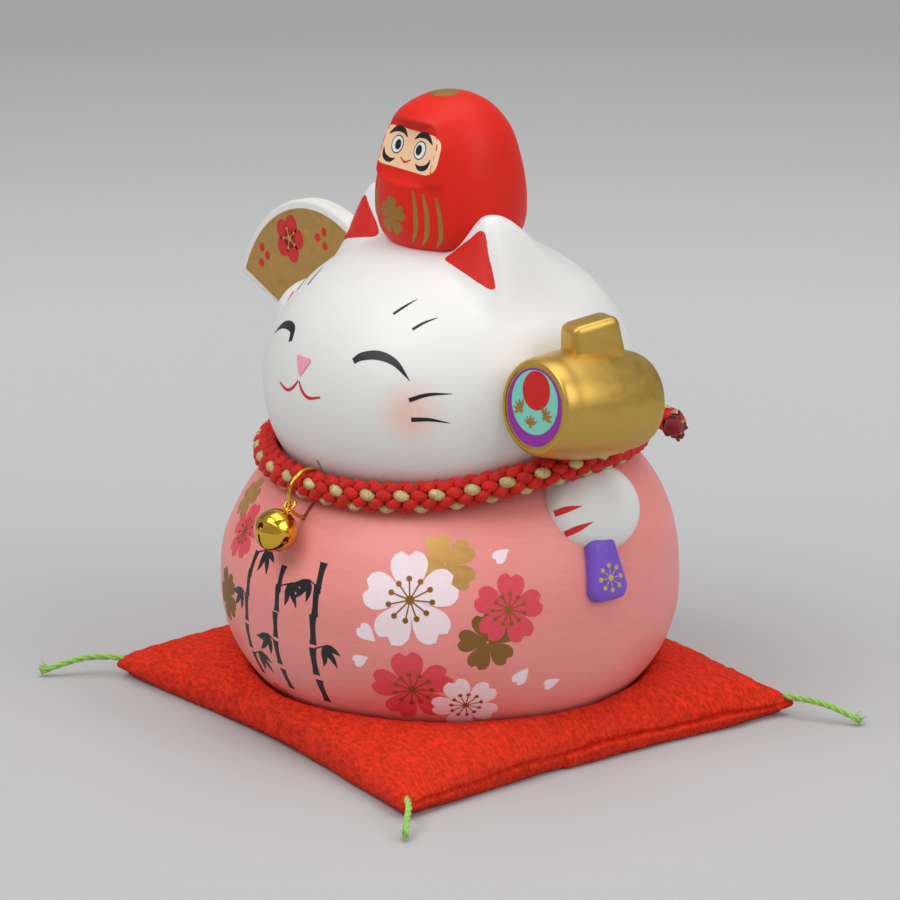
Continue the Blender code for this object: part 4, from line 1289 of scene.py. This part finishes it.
def make_collar():
    """The braid round the neck, the two tails with their tufts, and the square knot behind."""
    paints = [
        yarn("cord_red", rgb(224, 30, 14), 0.05, 0.5, contrast=0.42),
        yarn("cord_gold", rgb(228, 206, 146), 0.0, 0.34, 0.5, contrast=0.55),
        # the core's paint: a dark red that stands in for the shade between the strands
        yarn("cord_shadow", rgb(84, 6, 6), 0.0, 0.85, contrast=0.3),
    ]
    collar = Braid(paints)
    # the columns that face the neck can't be seen
    loop = [collar_point(2 * math.pi * i / 180) for i in range(180)]
    collar.lay(loop, COLUMNS[1:-1], core=2.45, radius=2.7, size=(2.6, 1.36, 1.25))
    collar.pieces("collar", "collar_cord")
    for side, name in ((1, "left"), (-1, "right")):
        tail = Braid(paints)
        route = curve_through(mirrored(TAIL_ROUTE, side), 6)
        tail.lay(route, COLUMNS, core=2.75, radius=2.3, size=(2.3, 1.25, 1.05), centre=Vector((0, 0, 60)))
        tail.pieces("tail", "collar_tail", "_" + name)
        make_tuft(side, name)
    knot = Braid(paints)
    for side in (1, -1):
        route = curve_through(mirrored(KNOT_ROUTE, side), 6)
        knot.lay(route, COLUMNS, core=2.1, radius=1.8, size=(2.0, 1.15, 0.9), centre=Vector((0, 49, 70)))
    knot.pieces("knot", "collar_knot")


def anywhere(*spans):
    """A random vector, with each part drawn from its own span."""
    return Vector([CHANCE.uniform(*span) for span in spans])


THREAD_STEPS = 7


def thread(soup, start, direction, length, radius, curl):
    """A thin thread that curls at random from a start, in millimetres, and thins towards its end."""
    point, heading = start, direction.normalized()
    path = [point]
    for _ in range(THREAD_STEPS):
        push = Vector([CHANCE.gauss(0, 1) for _ in range(3)])
        heading = (heading + push * curl).normalized()
        point = point + heading * length / THREAD_STEPS
        path.append(point)
    radii = [radius * MM * (1 - 0.35 * k / THREAD_STEPS) for k in range(THREAD_STEPS + 1)]
    soup.tube([p * MM for p in path], radii, 5)


def make_tuft(side, name):
    """The frayed end of a tail: loose dark-red threads and a little gold, held close to the CAD tuft."""
    red, gilt = Soup(), Soup()
    node = "tail_tuft_" + name
    low, high = (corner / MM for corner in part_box(node))
    centre, half = (low + high) / 2, (high - low) / 2
    outward = Vector((side, 1, 1))
    root = Vector(TAIL_ROUTE[-1]) * outward
    for i in range(220):
        direction = anywhere((0.1, 1.0), (-0.95, 0.5), (-1.0, 0.6)) * outward
        start = root + anywhere((-0.4, 1.6), (-1.7, 1.3), (-1.7, 1.7)) * outward
        length = CHANCE.uniform(1.5, 2.7)
        thread(red if i % 17 else gilt, start, direction, length, 0.6, 0.16)
    core = ellipsoid(root + Vector((1.6, -1.2, 0)) * outward, (2.4, 2.5, 2.5), 20, 14)
    red.add([Vector(p) * MM for p in core.points], core.faces)
    for soup in (red, gilt):
        for i, point in enumerate(soup.points):
            offset = Vector(point) / MM - centre
            reach = math.hypot(*(o / h for o, h in zip(offset, half)))
            soup.points[i] = tuple((centre + offset / max(reach / 1.25, 1)) * MM)
    dark_red = yarn("tuft_thread_" + name, rgb(140, 6, 20), 0.45, 0.6, contrast=0.45)
    red.piece("tuft_red_" + name, dark_red, "cat", "dark_thread", [node], sharp=180)
    pale_gold = yarn("tuft_gold_thread_" + name, rgb(198, 172, 104), 0.2, 0.45, 0.4)
    gilt.piece("tuft_gold_" + name, pale_gold, "cat", "gold_paint", sharp=180)


# ---------- bell

def bell_spot(out, height):
    """A point of the bell's upright plane, in millimetres from the cat's axis and from the table."""
    turn = math.radians(6)
    return Vector((out * math.sin(turn), -out * math.cos(turn), height)) * MM


RING_OUT = 47.1
RING_CENTRE, RING_RADIUS, RING_WIRE = bell_spot(RING_OUT, 63.8), 6.0 * MM, 0.45 * MM
BALL_CENTRE, BALL_RADIUS, BALL_WALL = bell_spot(57.4, 56.5), 5.4 * MM, 0.5 * MM
BALL_LEAN = math.radians(40.4)
EYE_DISTANCE, EYE_RADIUS, EYE_WIRE = 7.1 * MM, 1.5 * MM, 0.4 * MM
SLIT_WIDTH, SLIT_END_RADIUS, SLIT_LATITUDE = 0.7 * MM, 0.95 * MM, math.radians(16)
# radius and height of the eye's shank, through the crown to the rivet inside
SHANK = [(0.5, 6.0), (0.55, 5.5), (0.8, 5.35), (0.55, 5.2), (0.55, 4.2), (1.3, 3.55), (1.3, 3.1)]


def torus(place, major, minor, around, sides):
    """A ring of round wire about the Z axis of its frame."""
    soup = Soup()
    rings = []
    for i in range(around):
        a = 2 * math.pi * i / around
        ring = []
        for k in range(sides):
            b = 2 * math.pi * k / sides
            reach = major + minor * math.cos(b)
            ring.append(place @ Vector((reach * math.cos(a), reach * math.sin(a), minor * math.sin(b))))
        rings.append(ring)
    soup.loft(rings, "joined")
    return soup


def bell_plane(point):
    """A frame at a point of the bell's plane: X along the cord, Y outwards from the cat, Z up."""
    outward = Vector((point.x, point.y, 0)).normalized()
    place = Matrix((Vector((outward.y, -outward.x, 0)), outward, Vector((0, 0, 1)))).transposed().to_4x4()
    place.translation = point
    return place


def make_bell():
    """Jump ring, eye with its shank, the slotted ball, and the pellet inside it."""
    metal = brass()
    upright = bell_plane(RING_CENTRE) @ Matrix.Rotation(math.pi / 2, 4, "Y")
    ring = torus(upright, RING_RADIUS, RING_WIRE, 96, 16)
    ring.piece("jump_ring", metal, "ring", "brass", ["bell_ring"], sharp=60)
    lean = bell_plane(BALL_CENTRE) @ Matrix.Rotation(BALL_LEAN, 4, "X")
    profile = []
    for a in (math.pi * i / 64 for i in range(65)):
        # the seam between the two halves stands out a little
        ridge = 0.16 * MM * math.exp(-((math.cos(a) / 0.045) ** 2))
        radius = BALL_RADIUS - 0.08 * MM + ridge
        profile.append((radius * math.sin(a), (BALL_RADIUS - 0.05 * MM) * math.cos(a)))
    ball = turned(profile, 112, lean).piece("bell", metal, "bell", "brass", ["bell_cup"])
    inner = ellipsoid((0, 0, 0), (BALL_RADIUS - BALL_WALL,) * 3, 64, 40).move(lean)
    hole = turned([(0.9 * MM, BALL_RADIUS + 2 * MM), (0.9 * MM, BALL_RADIUS - 2 * MM)], 32, lean)
    tools = [cutter("inside", inner), cutter("crown_hole", hole)]
    latitude = -BALL_RADIUS * math.sin(SLIT_LATITUDE)
    for i in range(2):
        around = lean @ Matrix.Rotation(i * math.pi / 2, 4, "Z") @ Matrix.Translation((0, 0, latitude))
        tools.append(cutter("slit", block((14 * MM, SLIT_WIDTH, 8 * MM), (0, 0, -4 * MM), around)))
        lying = around @ Matrix.Rotation(math.pi / 2, 4, "Y")
        ends = turned([(SLIT_END_RADIUS, 7 * MM), (SLIT_END_RADIUS, -7 * MM)], 40, lying)
        tools.append(cutter("slit_end", ends))
    carve(ball, *tools)
    adopt(ball, metal, "bell", sharp=35)
    loop = lean @ Matrix.Translation((0, 0, EYE_DISTANCE)) @ Matrix.Rotation(math.pi / 2, 4, "X")
    eye = torus(loop, EYE_RADIUS, EYE_WIRE, 56, 14)
    stem = turned([(r * MM, z * MM) for r, z in SHANK], 28, lean)
    eye.add(stem.points, stem.faces)
    eye.piece("bell_loop", metal, "bell", "brass", ["bell_eye"], sharp=50)
    steel = Paint("steel", rgb(178, 180, 184), 0.3, {"Metallic": 1.0})
    mark = steel.noise(0.8 * MM, detail=3)
    steel.roughness(mark, 0.3, 0.7, 0.22, 0.4).relief(mark, 0.01 * MM)
    repaint("bell_pellet", steel)


def repaint(node, paint):
    """Gives a CAD node that stays in view its procedural material."""
    obj = frame["nodes"][node]
    obj.data.materials.clear()
    obj.data.materials.append(paint.material)


def make_stopper():
    """The stopper in the base keeps its CAD mesh."""
    plastic = Paint("plug_plastic", rgb(224, 226, 230), 0.45, {"Specular IOR Level": 0.45})
    haze = plastic.noise(3 * MM, detail=4)
    plastic.colour(plastic.mix(plastic.ramp(haze, 0.3, 0.7), rgb(214, 216, 220), rgb(230, 232, 236)))
    plastic.roughness(haze, 0.3, 0.7, 0.38, 0.55).relief(plastic.noise(0.4 * MM), 0.02 * MM)
    repaint("base_stopper", plastic)


# ---------- cushion and tassels

# in millimetres: half the sides and how far their middles are pulled in, and the heights of crown and seam
CUSHION_HALF, SIDE_PULL = (63.75, 60.75), 3.6
CUSHION_CROWN, CUSHION_EDGE = 9.7, 4.5
# the cat's dish, whose floor takes up this part of the way from the middle to the edge
DISH_HEIGHT, DISH_RADIUS, DISH_SLOPE, DISH_PART = 4.6, 46, 7.2, 4 / 9
# how much smaller the cushion starts before the cloth swells, and the most that a point may move
SWELL_ROOM, SWELL_CAP = 1.0, 3.0
CLOTH_PRESSURE, CLOTH_FRAMES, CLOTH_SPACING = 4, 20, 2.6 * MM
# how much of the cloth's move the fine cushion takes, across and upwards
MOVE_SHARE = Vector((0.12, 0.12, 0.9))
# where along the side the envelope's overlap starts
OVERLAP_Y = -9.4


def cushion_soup(around, parts, inset):
    """The cushion's closed form in millimetres: two sheets that meet round the edge, and the cat's dish."""
    soup = Soup()
    rings = []
    for top, sequence in ((True, parts), (False, list(reversed(parts))[1:])):
        for part in sequence:
            outward = max(part - DISH_PART, 0) / (1 - DISH_PART)
            ring = []
            for i in range(around):
                a = 2 * math.pi * i / around
                widest = max(abs(math.cos(a)), abs(math.sin(a)))
                u, v = math.cos(a) / widest, math.sin(a) / widest
                edge_x = u * (CUSHION_HALF[0] - SIDE_PULL * (1 - v * v) - 2 * inset)
                edge_y = v * (CUSHION_HALF[1] - SIDE_PULL * (1 - u * u) - 2 * inset)
                reach = DISH_RADIUS * min(part / DISH_PART, 1)
                x = reach * math.cos(a) * (1 - outward) + edge_x * outward
                y = reach * math.sin(a) * (1 - outward) + edge_y * outward
                corner = smooth((abs(u * v) - 0.55) / 0.45) * outward**4
                fullness = max(0.0, 1 - outward**8) ** 0.46 * (1 - 0.42 * corner)
                if top:
                    crown = CUSHION_EDGE + fullness * (CUSHION_CROWN - inset - CUSHION_EDGE)
                    dish = DISH_HEIGHT - inset
                    z = dish + (crown - dish) * smooth((math.hypot(x, y) - DISH_RADIUS) / DISH_SLOPE)
                else:
                    z = CUSHION_EDGE - fullness * (CUSHION_EDGE - inset)
                ring.append(Vector((x, y, z)))
            rings.append(ring)
    soup.loft(rings)
    return soup


def edge_facts(point):
    """How much a point of the unswollen form belongs to a sewn side, and its height above the seam."""
    x, y, z = point
    across, along_y = abs(x) / CUSHION_HALF[0], abs(y) / CUSHION_HALF[1]
    sewn = smooth((across - along_y) / 0.07) * smooth((across - 0.85) / 0.05)
    return sewn, z - CUSHION_EDGE


def under_body(x, y):
    """The height of the cat's underside above the cushion, in millimetres."""
    part = min(math.hypot(x, y) / (BODY_RADIUS / MM), 1)
    return max((BODY_WIDEST - FALL * (1 - part**FALL_POWER) ** (1 / FALL_POWER)) / MM, BASE / MM)


def swollen(coarse):
    """Blows the coarse cushion up as cloth. Returns pairs of a starting point and how far it moved."""
    coarse.points = [tuple(Vector(point) * MM) for point in coarse.points]
    pad = cutter("pad", coarse)
    remesh = pad.modifiers.new("remesh", "REMESH")
    remesh.mode = "VOXEL"
    remesh.voxel_size = CLOTH_SPACING
    settle(pad)
    before = [v.co.copy() for v in pad.data.vertices]
    cloth = pad.modifiers.new("cloth", "CLOTH")
    cloth.settings.use_pressure = True
    cloth.settings.uniform_pressure_force = CLOTH_PRESSURE
    cloth.settings.effector_weights.gravity = 0
    cloth.settings.quality = 5
    scene = bpy.context.scene
    for number in range(1, CLOTH_FRAMES + 1):
        scene.frame_set(number)
    settle(pad)
    moves = []
    for start, vertex in zip(before, pad.data.vertices):
        move = vertex.co - start
        if move.length > SWELL_CAP * MM:
            move = move.normalized() * SWELL_CAP * MM
        moves.append((start, move))
    scene.frame_set(1)
    bpy.data.objects.remove(pad, do_unlink=True)
    return moves


def make_cushion():
    """The crepe cushion: swollen as cloth, with seams, the envelope's overlap and puckers laid on after."""
    coarse = cushion_soup(72, [i / 14 for i in range(1, 15)], SWELL_ROOM)
    moves = swollen(coarse)
    finder = KDTree(max(len(moves), 1))
    for i, (start, _) in enumerate(moves):
        finder.insert(start, i)
    finder.balance()
    parts = [0.04 * i for i in range(1, 11)] + [0.4 + 0.6 * (1 - (1 - i / 64) ** 2.2) for i in range(1, 65)]
    fine = cushion_soup(480, parts, 0.1)
    points = []
    for point in fine.points:
        point = Vector(point)
        sewn, level = edge_facts(point)
        if moves:
            near = finder.find_n(point * MM, 5)
            weights = [1 / (distance + 0.4 * MM) for _, _, distance in near]
            move = sum((moves[i][1] * w for (_, i, _), w in zip(near, weights)), Vector()) / sum(weights)
            point += move * MOVE_SHARE / MM
        points.append(tuple(cushion_detail(point, sewn, level) * MM))
    fine.points = points
    nodes = ["cushion_cover", "cushion_fill"]
    cushion = fine.piece("cushion", crepe(), "root", "red_crepe", nodes, sharp=180)


def cushion_detail(point, sewn, level):
    """Seams on the two sewn sides, the overlap on the cat's left, puckers, and the hollow under the cat."""
    x, y, z = point
    seam = math.exp(-(((level - 0.2 - 0.2 * math.sin(y * 0.21)) / 0.55) ** 2)) * sewn
    x -= math.copysign(0.95 * seam, x)
    if x > 0:
        x += 0.9 * sewn * smooth((y - OVERLAP_Y) / 0.8) * smooth((0.1 - level) / 0.5) * smooth((54 - y) / 12)
    rim = smooth((max(abs(x) / CUSHION_HALF[0], abs(y) / CUSHION_HALF[1]) - 0.8) / 0.2)
    spot = Vector((x * 0.9, y * 0.9, z * 0.35))
    pucker = noise.noise(Vector((x * 0.16, y * 0.16, 3.7))) * 0.55 + noise.noise(spot * 0.55) * 0.35
    crinkle = noise.noise(Vector((x * 1.1, y * 0.6, z * 1.1))) * 0.16
    free = smooth((math.hypot(x, y) - 47) / 6)
    outward = Vector((x * abs(x) ** 3, y * abs(y) ** 3, 0)).normalized() if rim else Vector((0, 0, 0))
    lift = pucker * (0.35 + 0.65 * rim) + crinkle
    z += lift * free * smooth((z - 0.8) / 3)
    x, y = x + outward.x * lift * rim * 0.7, y + outward.y * lift * rim * 0.7
    z = min(z, under_body(x, y) - 0.35)
    if z < 1.2:
        z = 0.06 * math.exp(-z) + max(z, 0) * 0.6
    return Vector((x, y, max(z, 0)))


# name, side in X, side in Y, and how far out the tip lies in X and in Y
TASSELS = [
    ("front_left", 1, -1, (73.8, 67.2)), ("front_right", -1, -1, (75.2, 76.4)),
    ("back_left", 1, 1, (80.2, 68.6)), ("back_right", -1, 1, (76.0, 72.4)),
]


TASSEL_STRAND = 0.42


def make_tassels():
    """Twists of green thread from the cushion's corners to the table, frayed at the end."""
    green = yarn("thread_green", rgb(168, 222, 104), 0.2, 0.6, contrast=0.25)
    for name, side_x, side_y, tip in TASSELS:
        soup = Soup()
        sides = Vector((side_x, side_y, 1))
        start, end = Vector((61.6, 58.6, 4.9)), Vector((*tip, 1.3))
        middle = []
        for t in (i / 24 for i in range(25)):
            bend = Vector((0.7 * math.sin(5 * t), 0, 1.5 * math.sin(math.pi * t)))
            middle.append((start.lerp(end, t) + bend) * sides)
        for k in range(3):
            path = []
            for i, (point, _, out, across) in enumerate(frames_along(middle, closed=False)):
                a = 2 * math.pi * (k / 3 + i / 9)
                path.append((point + (out * math.cos(a) + across * math.sin(a)) * TASSEL_STRAND) * MM)
            soup.tube(path, TASSEL_STRAND * MM, 8)
        for _ in range(14):
            direction = anywhere((0.3, 1), (0.3, 1), (-0.5, 0.3)) * sides
            begin = middle[-3] + anywhere(*[(-0.6, 0.6)] * 3)
            thread(soup, begin, direction, CHANCE.uniform(2.0, 3.4), 0.14, 0.14)
        soup.points = [(x, y, max(z, 0.2 * MM)) for x, y, z in soup.points]
        node = "tassel_" + name
        soup.piece(node + "_threads", green, "root", "green_thread", [node], sharp=180)


# ---------- floor

def make_floor():
    """A sheet of pale paper that curves up far behind the cat."""
    soup = Soup()
    back = Vector((-BACK.x, -BACK.y, 0)).normalized()
    turns = [math.pi / 2 * i / 16 for i in range(1, 17)]
    profile = [(-1.5, 0), (0.0, 0), (0.9, 0)]
    profile += [(0.9 + 0.6 * math.sin(a), 0.6 - 0.6 * math.cos(a)) for a in turns]
    profile.append((1.5, 2.2))
    for distance, height in profile:
        for side in (-2.2, 2.2):
            spot = back * distance + RIGHT * side
            soup.points.append((spot.x, spot.y, height - 0.02 * MM))
    soup.faces = [(2 * i, 2 * i + 1, 2 * i + 3, 2 * i + 2) for i in range(len(profile) - 1)]
    mesh = soup.mesh("floor", outward=False)
    mesh.shade_smooth()
    mesh.materials.append(floor_paint().material)
    floor = bpy.data.objects.new("floor", mesh)
    bpy.context.scene.collection.objects.link(floor)


# ---------- the scene

make_camera()
make_light()
make_floor()
make_cushion()
make_tassels()
body = make_body()
painted_body = Canvas(body)
make_blossoms(painted_body)
make_bamboo(painted_body)
white_paint = cat_white()
make_face(Canvas(make_head(white_paint)))
make_claws(*make_arms(white_paint))
make_doll()
make_drum()
make_handle()
make_fan()
make_collar()
make_bell()
make_stopper()
